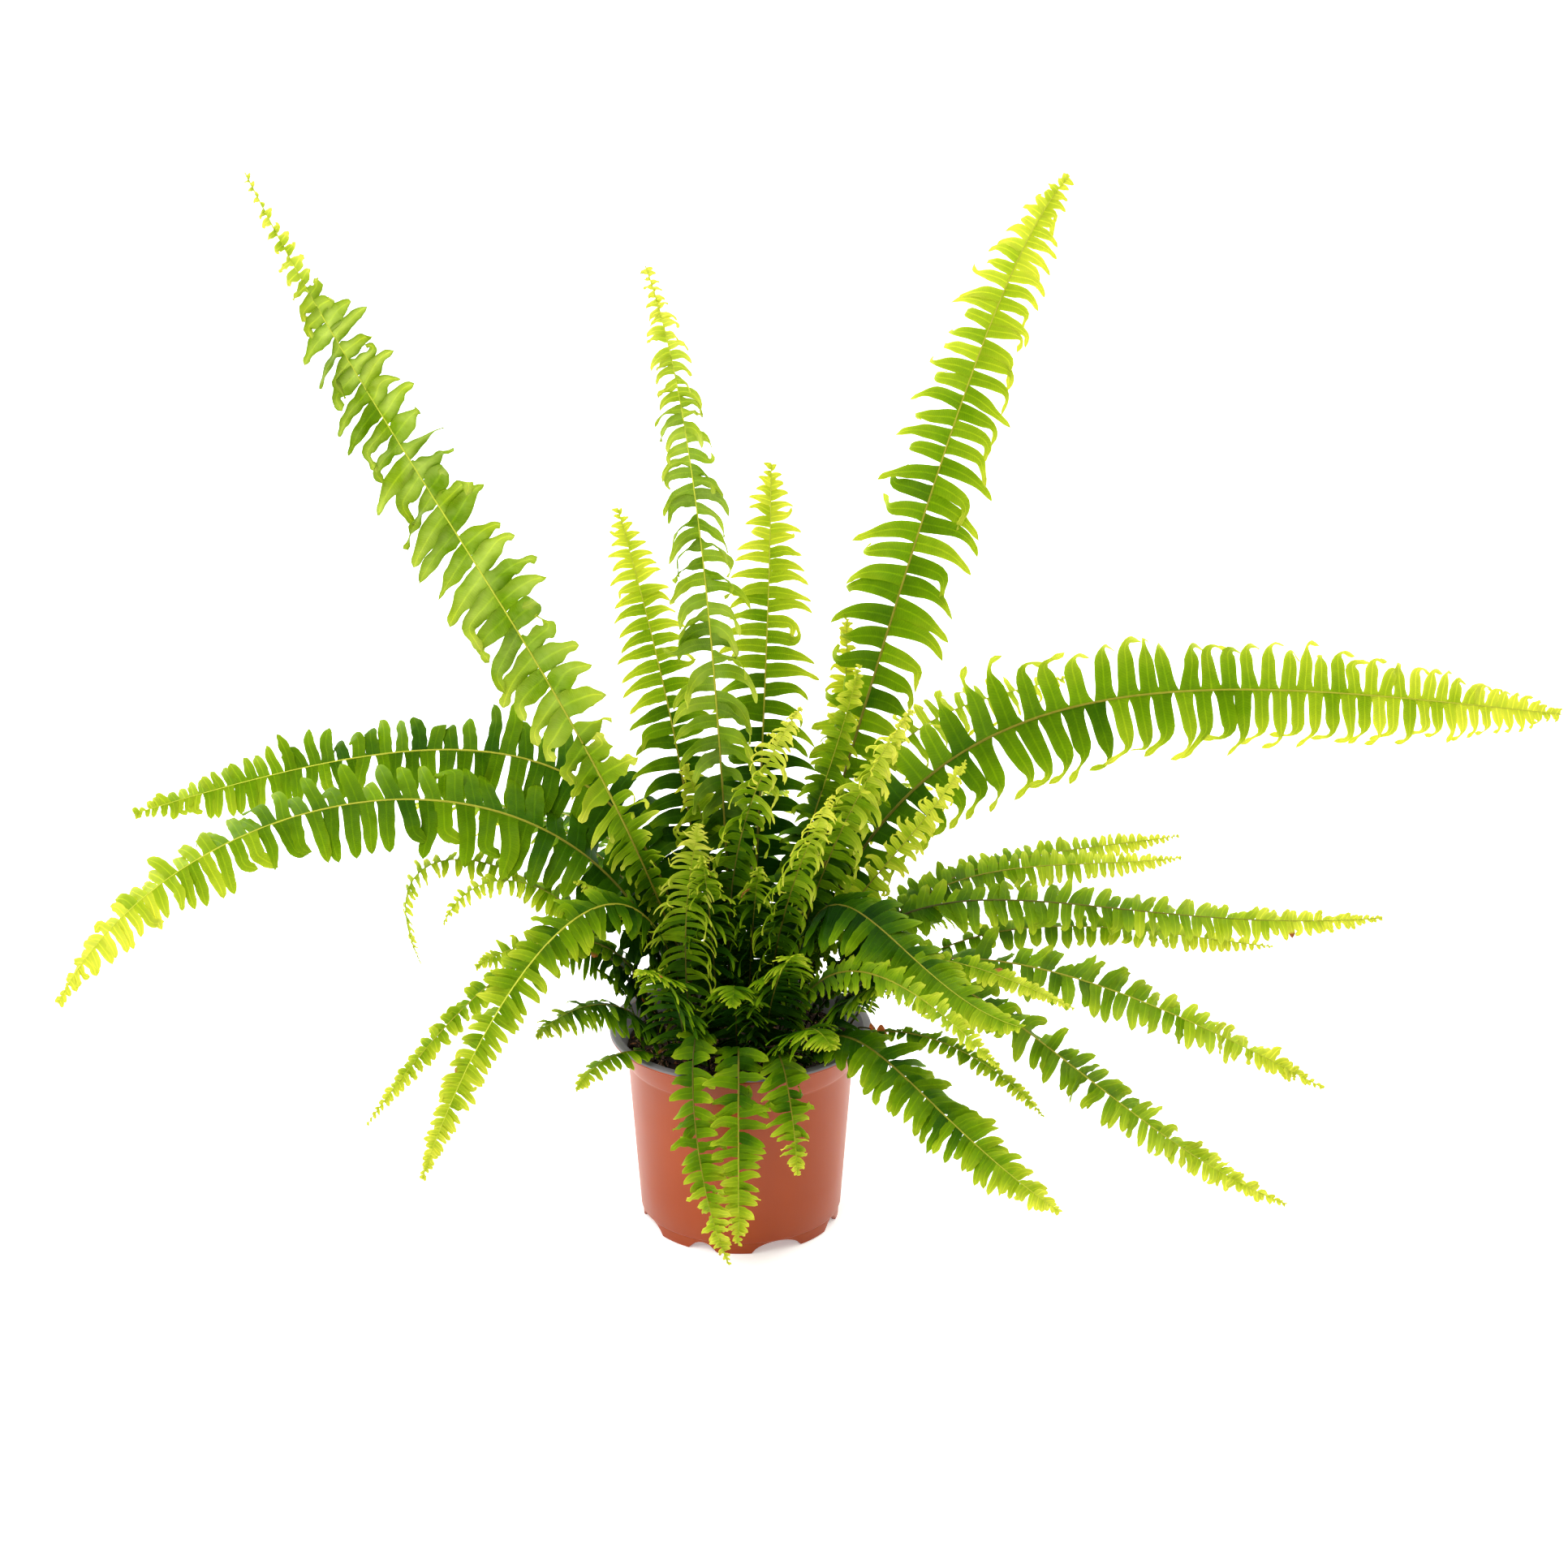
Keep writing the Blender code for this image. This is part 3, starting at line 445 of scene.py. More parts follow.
def grid_quads(rows, columns):
    """Quads of one closed thin leaf: an upper and a lower grid, joined round their edge."""
    wide = columns + 1
    size = (rows + 1) * wide
    quads = []
    for i in range(rows):
        for j in range(columns):
            a = i * wide + j
            quads.append((a, a + wide, a + wide + 1, a + 1))
            quads.append((size + a, size + a + 1, size + a + wide + 1, size + a + wide))
        first = i * wide
        last = first + columns
        quads.append((first, size + first, size + first + wide, first + wide))
        quads.append((last, last + wide, size + last + wide, size + last))
    for j in range(columns):
        quads.append((j, j + 1, size + j + 1, size + j))
        top = rows * wide + j
        quads.append((top, size + top, size + top + 1, top + 1))
    return np.array(quads)


GRID_QUADS = {name: grid_quads(*grid) for name, grid in GRIDS.items()}


def leaflet_outline(u, look, tail, scallop, phase):
    """Half widths of the two sides of a leaflet along its length, as shares of its width."""
    foot_width = 0.64 + 0.28 * look.foot
    foot = foot_width + (1.0 - foot_width) * smooth((u + 0.04) / (0.34 - 0.2 * look.foot))
    blunt = np.maximum(1.0 - u**5, 0.0) ** 0.6
    pointed = (1.0 - u**1.7) ** 0.85
    body = foot * (blunt + (pointed - blunt) * look.point)
    thin = (0.18 + 0.3 * np.exp(-(((u - 0.91) / 0.065) ** 2))) * np.maximum(1.0 - u**14, 0.0) ** 0.5
    narrowed = thin + (body - thin) * (1.0 - smooth((u - 0.45) / 0.3))
    body = body + (np.minimum(narrowed, body) - body) * tail
    ears = look.foot * max(0.34, 1.12 / look.slim - 0.9)
    ear = ears * np.exp(-(((u - 0.02) / 0.055) ** 2))
    teeth = 1.0 + 0.04 * np.sin(2 * np.pi * scallop * u + phase)
    return np.maximum((body + ear) * teeth, 0.03) * 0.5, np.maximum((body + ear * 0.8) * teeth, 0.03) * 0.5


def add_sheet(builder, surface, faces, size, material, **marks):
    """A thin closed leaf: a grid of points, thickened along the face of each row."""
    half = faces[:, None, :] * LEAF_THICKNESS / 2
    points = np.vstack(((surface + half).reshape(-1, 3), (surface - half).reshape(-1, 3)))
    quads = GRID_QUADS[size]
    if np.cross(surface[1, 0] - surface[0, 0], surface[0, 1] - surface[0, 0]) @ faces[0] < 0:
        quads = quads[:, ::-1]
    builder.add(points, quads, material, **marks)


def add_leaflets(builder, frond, arch, rng):
    """The leaflets of the blade, in pairs, and small ones on the stalk below it."""
    look = look_of(frond)
    bare = frond.bare * arch.length
    leafy = arch.length - bare
    for k in range(look.pairs):
        for sign in (1.0, -1.0):
            u = (k + 0.5 + 0.22 * sign + rng.uniform(-0.2, 0.2) * (0.35 + look.loose)) / look.pairs
            u = min(max(u, 0.0), 0.985)
            length = float(half_width(frond, u)) * look.long * rng.uniform(1.0 - 0.3 * look.loose, 1.1)
            spacing = leafy / look.pairs * (1.0 + SPACING_TAPER - 2 * SPACING_TAPER * u)
            distance = bare + leafy * station_share(u)
            add_leaflet(builder, look, frond, arch, distance, u, sign, length, spacing, rng)
    low = STALK_FOOT * bare
    for step in range(int((bare - low) / STALK_SPACING)):
        for sign in (1.0, -1.0):
            distance = low + (step + 0.5 + 0.3 * sign) * STALK_SPACING
            share = (distance - low) / (bare - low)
            length = frond.width * (0.36 + 0.36 * share) * rng.uniform(0.6, 1.1)
            add_leaflet(builder, look, frond, arch, distance, 0.0, sign, length, STALK_SPACING, rng)


def grow_spine(u, heading, face, along, look, length, hooked, rng):
    """Grows a leaflet outwards step by step: its directions and faces at each row.

    Its weight pulls it down, it curls under along its length, and some tips hook over.
    """
    down = np.array((0.0, 0.0, -1.0))
    sag = look.sag * rng.uniform(0.75, 1.25) * min(1.0, 0.35 + length / 24.0)
    curl = look.curl * rng.uniform(0.4, 1.6)
    rate = rng.uniform(3.5, 8.0) if hooked else 0.0
    start = rng.uniform(0.45, 0.65)
    rising = 1.0 if heading[2] > 0 else -1.0
    lean = along * rising * rng.uniform(0.6, 1.2) + down * rng.uniform(0.1, 0.9) + rng.normal(0, 0.2, 3)
    sway = rng.normal(0, 0.4 + 0.9 * look.loose)
    wave = rng.uniform(3.0, 7.0)
    headings = [heading]
    faces = [face]
    for near, far in zip(u, u[1:]):
        step = far - near
        middle = (near + far) / 2
        pull = down - heading * (down @ heading)
        bend = pull * sag * (0.3 + 1.4 * middle) - face * curl * middle
        bend = bend + np.cross(heading, face) * sway * math.cos(wave * middle)
        if middle > start and rate:
            turn = lean - face * 0.2
            bend = bend + unit(turn - heading * (turn @ heading)) * rate
        heading = unit(heading + bend * step)
        face = unit(face - heading * (face @ heading))
        headings.append(heading)
        faces.append(face)
    return np.array(headings), np.array(faces)


def painted_shade_share(point):
    """How deep a point lies in the crown, from 0, outside, to 1 where the most shade is painted into the
    colour.
    """
    reach = math.hypot(point[0], point[1])
    height = float(smooth((point[2] - SOIL_TOP) / CROWN_HEIGHT))
    return math.exp(-((reach / CROWN_REACH) ** 2)) * (1.0 - height)


def add_leaflet(builder, look, frond, arch, distance, u_frond, sign, length, spacing, rng):
    """One leaflet at a distance along the rib, on the side told by the sign."""
    size = "large" if length > LARGE_LEAFLET else "small" if length < SMALL_LEAFLET else "middle"
    rows, columns = GRIDS[size]
    u = np.linspace(0.0, 1.0, rows + 1) ** ROW_CROWDING
    v = np.linspace(-1.0, 1.0, columns + 1)
    point, along, side, up = (part[0] for part in arch.frame([distance]))
    fold = math.radians(-frond.droop + rng.normal(0, 3 + 14 * look.loose))
    out = side * sign * math.cos(fold) + up * math.sin(fold)
    forward = look.lean + look.skew * sign + 0.6 * u_frond**5 + rng.normal(0, 0.03 + 0.08 * look.loose)
    heading = unit(out + along * forward)
    face = unit(np.cross(heading, along) * sign)
    if face @ up < 0:
        face = -face
    tilt = sign * look.tilt + rng.normal(0, look.twist * 0.5)
    face = unit(face * math.cos(tilt) + np.cross(heading, face) * math.sin(tilt))
    hooked = rng.random() < look.hook
    headings, faces = grow_spine(u, heading, face, along, look, length, hooked, rng)
    broads = unit(np.cross(faces, headings))
    if broads[0] @ along < 0:
        broads = -broads
    twist = (rng.normal(0, look.twist) * u)[:, None]
    turned = broads * np.cos(twist) + faces * np.sin(twist)
    faces = faces * np.cos(twist) - broads * np.sin(twist)
    free = smooth(u / 0.3)[:, None]
    broads = unit(along * (1.0 - free) + turned * free)
    steps = np.diff(u)[:, None] * length * (headings[1:] + headings[:-1]) / 2
    width = min(spacing * look.slim * (1.0 + 0.4 * u_frond**3), length * 0.72) * rng.uniform(0.95, 1.08)
    foot = point - heading * 0.25
    spine = np.vstack((np.zeros(3), np.cumsum(steps, axis=0))) + foot
    phase = rng.uniform(0, 6.28)
    tail = look.tail * (rng.uniform(0.7, 1.3) if hooked else rng.uniform(0.2, 0.9))
    front, back = leaflet_outline(u, look, min(tail, 1.0), 4 + length * 0.3, phase)
    reach = np.where(v[None, :] >= 0, front[:, None], back[:, None]) * v[None, :] * width
    ripple = rng.uniform(0.03, 0.07 + 0.1 * look.loose) * width
    wave = ripple * np.sin(2 * np.pi * rng.uniform(1.2, 3.0) * u + phase)
    groove = -0.05 * width * np.exp(-((v / 0.22) ** 2))[None, :] * (1.0 - u)[:, None]
    lift = free * (groove - 0.14 * np.abs(reach) + wave[:, None] * v[None, :] * np.abs(v[None, :]))
    surface = spine[:, None, :] + broads[:, None, :] * reach[..., None] + faces[:, None, :] * lift[..., None]
    leaf_u = np.repeat(u, columns + 1)
    leaf_v = np.tile(v, rows + 1)
    ripe = look.age + (look.ripe - look.age) * smooth((u_frond - look.turn) / (1.05 - look.turn))
    milky = smooth(u_frond / 0.12) * (1.0 - smooth((u_frond - 0.62) / 0.2))
    pale = look.pale * float(milky) * (0.35 + 1.1 * u_frond)
    gain = look.gain * leaf_u**1.5 + 0.2 * tail * smooth((leaf_u - 0.6) / 0.2)
    age = ripe - 0.1 + gain * (1.0 - 0.8 * pale) + rng.normal(0, 0.05)
    # Painted shade: deep in the crown the leaflets are moved down the colour ramp, to darker greens.
    age = age - CROWN_PAINTED_SHADE * painted_shade_share(point)
    dry = np.zeros(len(leaf_u))
    if rng.random() < DRY_SHARE and length < LARGE_LEAFLET and point[2] < DRY_HEIGHT:
        dry = smooth((leaf_u - rng.uniform(0.3, 0.9)) / 0.15)
    marks = {"age": np.clip(age, 0, 1.2), "leaf_u": leaf_u, "leaf_v": leaf_v, "dry": dry}
    marks = {name: np.tile(value, 2) for name, value in marks.items()}
    under = np.repeat((0.0, 1.0), len(leaf_u))
    add_sheet(builder, surface, faces, size, 0, tone=rng.random(), under=under, pale=pale, **marks)


def band_quads(rings, sides):
    """Quads between each closed ring of points and the next."""
    ring, side = np.divmod(np.arange((rings - 1) * sides), sides)
    here = ring * sides + side
    after = ring * sides + (side + 1) % sides
    return np.stack([here, after, after + sides, here + sides], -1)


def add_tube(builder, spine, side, up, radius, sides, material, **marks):
    """A closed round tube along a spine of points, with one radius for each."""
    turns = np.linspace(0, 2 * np.pi, sides, endpoint=False)[:, None]
    ring = side[..., None, :] * np.cos(turns) + up[..., None, :] * np.sin(turns)
    points = spine[:, None, :] + ring * radius[:, None, None]
    top = (len(spine) - 1) * sides
    caps = []
    for j in range(0, sides - 2, 2):
        caps.append((0, (j + 3) % sides, j + 2, j + 1))
        caps.append((top, top + j + 1, top + j + 2, top + (j + 3) % sides))
    quads = np.concatenate((band_quads(len(spine), sides), caps))
    for name, value in marks.items():
        marks[name] = np.repeat(value, sides) if np.ndim(value) else value
    builder.add(points.reshape(-1, 3), quads, material, **marks)


def add_rib(builder, frond, arch):
    steps = BROAD_RIB_STEPS if frond.width > BROAD_FROND else RIB_STEPS
    distance = np.linspace(arch.lengths[0], arch.length, steps)
    point, _, side, up = arch.frame(distance)
    share = np.clip(distance / arch.length, 0, 1)
    radius = (RIB_RADIUS + RIB_RADIUS_PER_WIDTH * frond.width) * (1.0 - RIB_TAPER * share)
    # Painted shade: the rib's colour is darkened deep in the crown.
    tone = look_of(frond).stem - CROWN_RIB_PAINTED_SHADE * np.array([painted_shade_share(place) for place in point])
    add_tube(builder, point, side, up, radius, RIB_SIDES, 1, age=share, tone=tone)


def add_scales(builder, frond, arch, rng):
    """Small papery scales on the lower stalk."""
    stalk = frond.bare * arch.length * SCALY_SHARE
    for _ in range(STALK_SCALES):
        distance = stalk * rng.random() ** 1.6
        point, along, side, up = (part[0] for part in arch.frame([distance]))
        turn = rng.uniform(0, 6.28)
        out = side * math.cos(turn) + up * math.sin(turn)
        broad = np.cross(along, out)
        root = point + out * 0.8
        size = rng.uniform(0.8, 2.2)
        tip = root + unit(along * rng.uniform(-0.6, 1.0) + out * 0.8 + broad * rng.normal(0, 0.4)) * size
        half = broad * size * 0.14
        thin = out * 0.05
        middle = (root + tip) / 2 + out * size * 0.08
        ring = np.array([root, middle + half, tip, middle - half])
        quads = [(0, 1, 2, 3), (7, 6, 5, 4), (0, 4, 5, 1), (1, 5, 6, 2), (2, 6, 7, 3), (3, 7, 4, 0)]
        builder.add(np.vstack((ring + thin, ring - thin)), np.array(quads), 2, tone=rng.random())


# Materials. Values are numbers, colours or the outputs of other nodes.


def new_material(name, roughness, specular=0.5):
    made = bpy.data.materials.new(name)
    made.use_nodes = True
    shader = made.node_tree.nodes["Principled BSDF"]
    shader.inputs["Roughness"].default_value = roughness
    shader.inputs["Specular IOR Level"].default_value = specular
    return made, made.node_tree, shader


def make_node(tree, kind, values, **settings):
    node = tree.nodes.new("ShaderNode" + kind)
    for name, setting in settings.items():
        setattr(node, name, setting)
    for key, value in values.items():
        if isinstance(value, bpy.types.NodeSocket):
            tree.links.new(value, node.inputs[key])
        else:
            node.inputs[key].default_value = (*value, 1.0) if isinstance(value, tuple) else value
    return node


def attribute(tree, name):
    return make_node(tree, "Attribute", {}, attribute_name=name).outputs["Fac"]


def calculate(tree, operation, first, second=0.0, third=0.0, clamp=False):
    values = {0: first, 1: second, 2: third}
    return make_node(tree, "Math", values, operation=operation, use_clamp=clamp).outputs[0]


def times(tree, first, second):
    return calculate(tree, "MULTIPLY", first, second)


def weigh(tree, first, share, second, other_share):
    """The sum of two factors, each times its share."""
    return calculate(tree, "MULTIPLY_ADD", first, share, times(tree, second, other_share))


def vary(tree, value, factor, amount):
    """A value moved up and down, by half the amount each way, by a factor between 0 and 1."""
    return calculate(tree, "MULTIPLY_ADD", factor, amount, calculate(tree, "ADD", value, -amount / 2))


def ramp(tree, factor, stops):
    node = make_node(tree, "ValToRGB", {0: factor})
    elements = node.color_ramp.elements
    while len(elements) < len(stops):
        elements.new(0.5)
    for element, (place, colour) in zip(elements, stops):
        element.position = place
        element.color = (*colour, 1.0)
    return node.outputs[0]


def blend_colours(tree, factor, first, second, kind="MIX"):
    values = {0: factor, 6: first, 7: second}
    return make_node(tree, "Mix", values, data_type="RGBA", blend_type=kind).outputs[2]


def tint(tree, colour, by):
    return blend_colours(tree, 1.0, colour, by, "MULTIPLY")


def noise_factor(tree, scale, detail=4.0, roughness=0.55, stretch=None):
    place = make_node(tree, "TexCoord", {}).outputs["Object"]
    if stretch:
        place = make_node(tree, "Mapping", {"Vector": place, "Scale": Vector(stretch)}).outputs[0]
    values = {"Scale": scale, "Detail": detail, "Roughness": roughness, "Vector": place}
    return make_node(tree, "TexNoise", values).outputs[0]


def bump(tree, shader, height, strength, distance):
    values = {"Strength": strength, "Distance": distance, "Height": height}
    normal = make_node(tree, "Bump", values).outputs[0]
    tree.links.new(normal, shader.inputs["Normal"])
    return normal


# The share of the light that passes through a leaf.
LEAF_GLOW = 0.42


def leaf_material():
    made, tree, shader = new_material("leaf", 0.42, 0.04)
    # The age also carries the painted shade of the crown.
    age = attribute(tree, "age")
    tone = attribute(tree, "tone")
    speckle = noise_factor(tree, 160.0)
    stops = (
        (0.0, (0.006, 0.036, 0.0004)),
        (0.2, (0.034, 0.108, 0.0008)),
        (0.45, (0.148, 0.270, 0.0024)),
        (0.7, (0.315, 0.415, 0.016)),
        (1.0, (0.49, 0.545, 0.055)),
    )
    colour = ramp(tree, vary(tree, vary(tree, age, tone, 0.12), speckle, 0.16), stops)
    # The midrib and the side veins, pale on the green, from the place along and across the leaflet.
    across = calculate(tree, "ABSOLUTE", attribute(tree, "leaf_v"))
    along = attribute(tree, "leaf_u")
    midrib = calculate(tree, "SUBTRACT", 1.0, times(tree, across, 7.0), clamp=True)
    slant = calculate(tree, "MULTIPLY_ADD", across, -0.05, along)
    stripes = calculate(tree, "SINE", times(tree, slant, 170.0))
    veins = calculate(tree, "MULTIPLY_ADD", stripes, 0.5, 0.5)
    lighter = tint(tree, colour, (2.1, 1.75, 1.6))
    colour = blend_colours(tree, times(tree, midrib, 0.5), colour, lighter)
    colour = blend_colours(tree, times(tree, veins, 0.12), colour, lighter)
    edge = times(tree, calculate(tree, "POWER", across, 3.0), 0.3)
    colour = blend_colours(tree, edge, colour, lighter)
    duller = tint(tree, colour, (1.15, 1.1, 1.8))
    colour = blend_colours(tree, attribute(tree, "under"), colour, duller)
    # A milky green in the middle of the leaflets of some fronds, darker towards their edges.
    pale = attribute(tree, "pale")
    cloud = calculate(tree, "MULTIPLY_ADD", noise_factor(tree, 60.0), 3.0, -1.1, clamp=True)
    colour = blend_colours(tree, times(tree, cloud, pale), colour, (0.56, 0.64, 0.17))
    rim = times(tree, calculate(tree, "POWER", across, 2.0), pale)
    colour = blend_colours(tree, rim, colour, (0.17, 0.29, 0.002))
    # Dried tips.
    brown = ramp(tree, speckle, ((0.3, (0.20, 0.06, 0.015)), (0.7, (0.55, 0.22, 0.06))))
    colour = blend_colours(tree, attribute(tree, "dry"), colour, brown)
    tree.links.new(colour, shader.inputs["Base Color"])
    normal = bump(tree, shader, weigh(tree, midrib, -1.0, veins, 0.35), 0.35, 0.0003)
    # Light that passes through from behind is brighter and more yellow.
    glow = make_node(tree, "BsdfTranslucent", {"Normal": normal})
    lit = blend_colours(tree, 0.5, colour, tint(tree, colour, (0.97, 1.0, 0.55)))
    tree.links.new(tint(tree, lit, (1.42, 1.36, 1.1)), glow.inputs["Color"])
    mix = make_node(tree, "MixShader", {0: LEAF_GLOW, 1: shader.outputs[0], 2: glow.outputs[0]})
    tree.links.new(mix.outputs[0], tree.nodes["Material Output"].inputs["Surface"])
    return made


def rib_material():
    """Brown at the foot, yellow-green towards the tip, by the stem's tone and the painted shade of the crown.
    """
    made, tree, shader = new_material("rib", 0.5, 0.12)
    stops = (
        (0.0, (0.014, 0.016, 0.003)),
        (0.3, (0.052, 0.054, 0.004)),
        (0.6, (0.17, 0.155, 0.010)),
        (0.85, (0.36, 0.36, 0.025)),
        (1.0, (0.50, 0.54, 0.04)),
    )
    place = weigh(tree, attribute(tree, "tone"), 0.6, attribute(tree, "age"), 0.62)
    mottle = noise_factor(tree, 260.0)
    tree.links.new(ramp(tree, vary(tree, place, mottle, 0.2), stops), shader.inputs["Base Color"])
    bump(tree, shader, mottle, 0.3, 0.0002)
    return made


def scale_material():
    made, tree, shader = new_material("stalk_scales", 0.7)
    stops = ((0.0, (0.09, 0.035, 0.012)), (1.0, (0.30, 0.15, 0.06)))
    tree.links.new(ramp(tree, attribute(tree, "tone"), stops), shader.inputs["Base Color"])
    return made


def mount(piece, node):
    """Ties a fine piece to the frame, in place of its plain node."""
    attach(piece, "root")
    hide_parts(node)


def make_fronds(rib_finish, leaf_finish):
    finishes = (leaf_finish, rib_finish, scale_material())
    for index, frond in enumerate(FRONDS):
        rng = np.random.default_rng(FROND_SEED + index)
        arch = Arch(frond)
        builder = Builder()
        add_rib(builder, frond, arch)
        add_leaflets(builder, frond, arch, rng)
        add_scales(builder, frond, arch, rng)
        mount(builder.mesh("fine_" + frond.name, finishes), "frond_" + frond.name)


def notch_level(angle):
    """Height of the pot's lower edge: flat feet parted by notches, wide and narrow in turn."""
    period = 360.0 / FEET
    half_span, height = NOTCHES[int(angle // period) % 2]
    from_notch = abs(angle % period - period / 2)
    if from_notch >= half_span:
        return 0.0
    return height * math.cos(math.pi / 2 * from_notch / half_span) ** 0.5


def inner_wall_radius(height):
    """Inside radius of the pot's straight wall at a height."""
    share = (height - FOOT_HEIGHT) / (STEP_HEIGHT - FOOT_HEIGHT)
    return WALL_FOOT_RADIUS + (WALL_TOP_RADIUS - WALL_FOOT_RADIUS) * share - POT_WALL


def pot_profile():
    """Rings of the pot from the middle of its underside, out and up to the lip, and down inside.

    Each ring is a radius, a height, how far it follows the notches, and 1 on the grey inner layer.
    """
    step = STEP_HEIGHT
    lip_low = POT_HEIGHT - LIP_THICKNESS
    floor_high = FLOOR_HEIGHT + POT_WALL
    inside = FOOT_RADIUS - 2 * POT_WALL
    inner_top = COLLAR_TOP_RADIUS - POT_WALL
    underside = [(inside * share, FLOOR_HEIGHT) for share in (0.0, 0.35, 0.62, 0.9, 1.0)]
    feet = [(inside, 0.5), (inside + 0.5, 0.0), (FOOT_RADIUS - 0.6, 0.0), (FOOT_RADIUS - 0.1, 0.5)]
    wall = [(FOOT_RADIUS + 0.1, FOOT_HEIGHT - 0.5), (FOOT_RADIUS + 0.55, FOOT_HEIGHT - 0.2)]
    wall.append((WALL_FOOT_RADIUS, FOOT_HEIGHT + 0.5))
    for share in (0.25, 0.5, 0.75, 0.985):
        radius = WALL_FOOT_RADIUS + (WALL_TOP_RADIUS - WALL_FOOT_RADIUS) * share
        wall.append((radius, FOOT_HEIGHT + (step - FOOT_HEIGHT) * share))
    wall += [(WALL_TOP_RADIUS + 0.1, step - 0.1), (COLLAR_FOOT_RADIUS - 0.25, step + 0.35)]
    wall.append((COLLAR_FOOT_RADIUS + 0.1, step + 1.1))
    for share in (0.35, 0.7, 1.0):
        radius = COLLAR_FOOT_RADIUS + (COLLAR_TOP_RADIUS - COLLAR_FOOT_RADIUS) * share
        wall.append((radius, step + 0.8 + (COLLAR_HEIGHT - LIP_THICKNESS - 1.4) * share))
    wall += [(COLLAR_TOP_RADIUS + 1.2, lip_low - 0.25), (LIP_RADIUS - 0.7, lip_low)]
    wall.append((LIP_RADIUS - 0.12, lip_low + 0.45))
    grey = [(LIP_RADIUS, lip_low + 1.3), (LIP_RADIUS - 0.3, POT_HEIGHT - 0.4), (LIP_RADIUS - 1.0, POT_HEIGHT)]
    grey += [(COLLAR_TOP_RADIUS + 1.2, POT_HEIGHT), (COLLAR_TOP_RADIUS + 0.1, POT_HEIGHT - 0.35)]
    grey.append((inner_top + 0.2, lip_low - 0.4))
    for share in (0.0, 0.5, 1.0):
        radius = inner_top + (inner_wall_radius(step) - COLLAR_TOP_RADIUS + POT_WALL) * share
        grey.append((radius, lip_low - 1.0 + (step - lip_low + 1.0) * share))
    grey += [(inner_wall_radius(height), height) for height in (60.0, 40.0, 20.0, floor_high)]
    grey += [((inside - 1.0) * share, floor_high) for share in (0.62, 0.35, 0.0)]
    groups = ((underside, 0, 0), (feet, 1, 0), (wall, 0, 0), (grey, 0, 1))
    return [(*ring, follows, inner) for rings, follows, inner in groups for ring in rings]


def circle(radius, turns, level):
    """Points round the pot's axis at turns in radians."""
    return np.stack([radius * np.cos(turns), radius * np.sin(turns), np.broadcast_to(level, turns.shape)], -1)


def weld(thing, gap, outwards=False):
    """Joins the points of a piece that lie together, and if asked turns its faces outwards."""
    shell = bmesh.new()
    shell.from_mesh(thing.data)
    bmesh.ops.remove_doubles(shell, verts=shell.verts, dist=gap)
    if outwards:
        bmesh.ops.recalc_face_normals(shell, faces=shell.faces)
    shell.to_mesh(thing.data)
    shell.free()


def make_pot():
    degrees = np.arange(POT_SIDES) * 360.0 / POT_SIDES
    notches = np.array([notch_level(turn) for turn in degrees])
    turns = np.radians(degrees)
    rows = []
    grey = []
    for radius, height, follows, inner in pot_profile():
        # A drawn sheet is never quite round: the rim and the wall wander by a few tenths.
        wander = 0.22 * np.sin(turns * 3 + 0.7) * (height / POT_HEIGHT) ** 2
        rows.append(circle(radius + wander * (radius > 40), turns, height + follows * notches))
        grey.append(inner)
    layers = np.repeat(np.minimum(grey[:-1], grey[1:]), POT_SIDES)
    builder = Builder()
    builder.add(np.concatenate(rows), band_quads(len(rows), POT_SIDES), layers)
    finishes = (
        plastic("terracotta_plastic", (0.32, 0.049, 0.004), (0.27, 0.038, 0.003), 0.36),
        plastic("grey_inner_layer", (0.19, 0.175, 0.18), (0.12, 0.11, 0.115), 0.5),
    )
    pot = builder.mesh("fine_pot", finishes)
    weld(pot, 1e-6, outwards=True)
    drill_drains(pot)
    pot.data.shade_smooth()
    pot.data.set_sharp_from_angle(angle=math.radians(POT_SHARP_ANGLE))
    mount(pot, "pot")


def drill_drains(pot):
    """Cuts the eight round drain holes through the pot's floor."""
    cutters = bpy.data.collections.new("drains")
    for step in range(FEET):
        middle = around(360.0 * step / FEET, DRAIN_CIRCLE, FOOT_HEIGHT + 1.0) * MM
        bpy.ops.mesh.primitive_cylinder_add(
            vertices=24, radius=DRAIN_RADIUS * MM * 0.96, depth=8 * MM, location=Vector(middle) + AXIS
        )
        cutter = bpy.context.object
        bpy.context.scene.collection.objects.unlink(cutter)
        cutters.objects.link(cutter)
    bpy.context.scene.collection.children.link(cutters)
    boolean = pot.modifiers.new("drains", "BOOLEAN")
    boolean.operation = "DIFFERENCE"
    boolean.solver = "EXACT"
    boolean.operand_type = "COLLECTION"
    boolean.collection = cutters
    bpy.context.view_layer.update()
    graph = bpy.context.evaluated_depsgraph_get()
    drilled = bpy.data.meshes.new_from_object(pot.evaluated_get(graph))
    pot.modifiers.clear()
    pot.data = drilled
    for cutter in list(cutters.objects):
        bpy.data.objects.remove(cutter, do_unlink=True)
    bpy.data.collections.remove(cutters)


def plastic(name, light, dark, roughness):
    """Thin formed plastic: faint cloudy shading, fine upright flow lines and dust."""
    made, tree, shader = new_material(name, 0.5, 0.25)
    flow = noise_factor(tree, 70.0, 5.0, 0.5, stretch=(1.0, 1.0, 0.12))
    cover = weigh(tree, flow, 0.35, noise_factor(tree, 14.0, 3.0), 0.65)
    tree.links.new(ramp(tree, cover, ((0.3, dark), (0.7, light))), shader.inputs["Base Color"])
    rough = calculate(tree, "MULTIPLY_ADD", flow, 0.16, roughness - 0.08)
    tree.links.new(rough, shader.inputs["Roughness"])
    grain = noise_factor(tree, 1500.0, 2.0)
    bump(tree, shader, weigh(tree, flow, 0.6, grain, 0.4), 0.12, 0.0003)
    return made


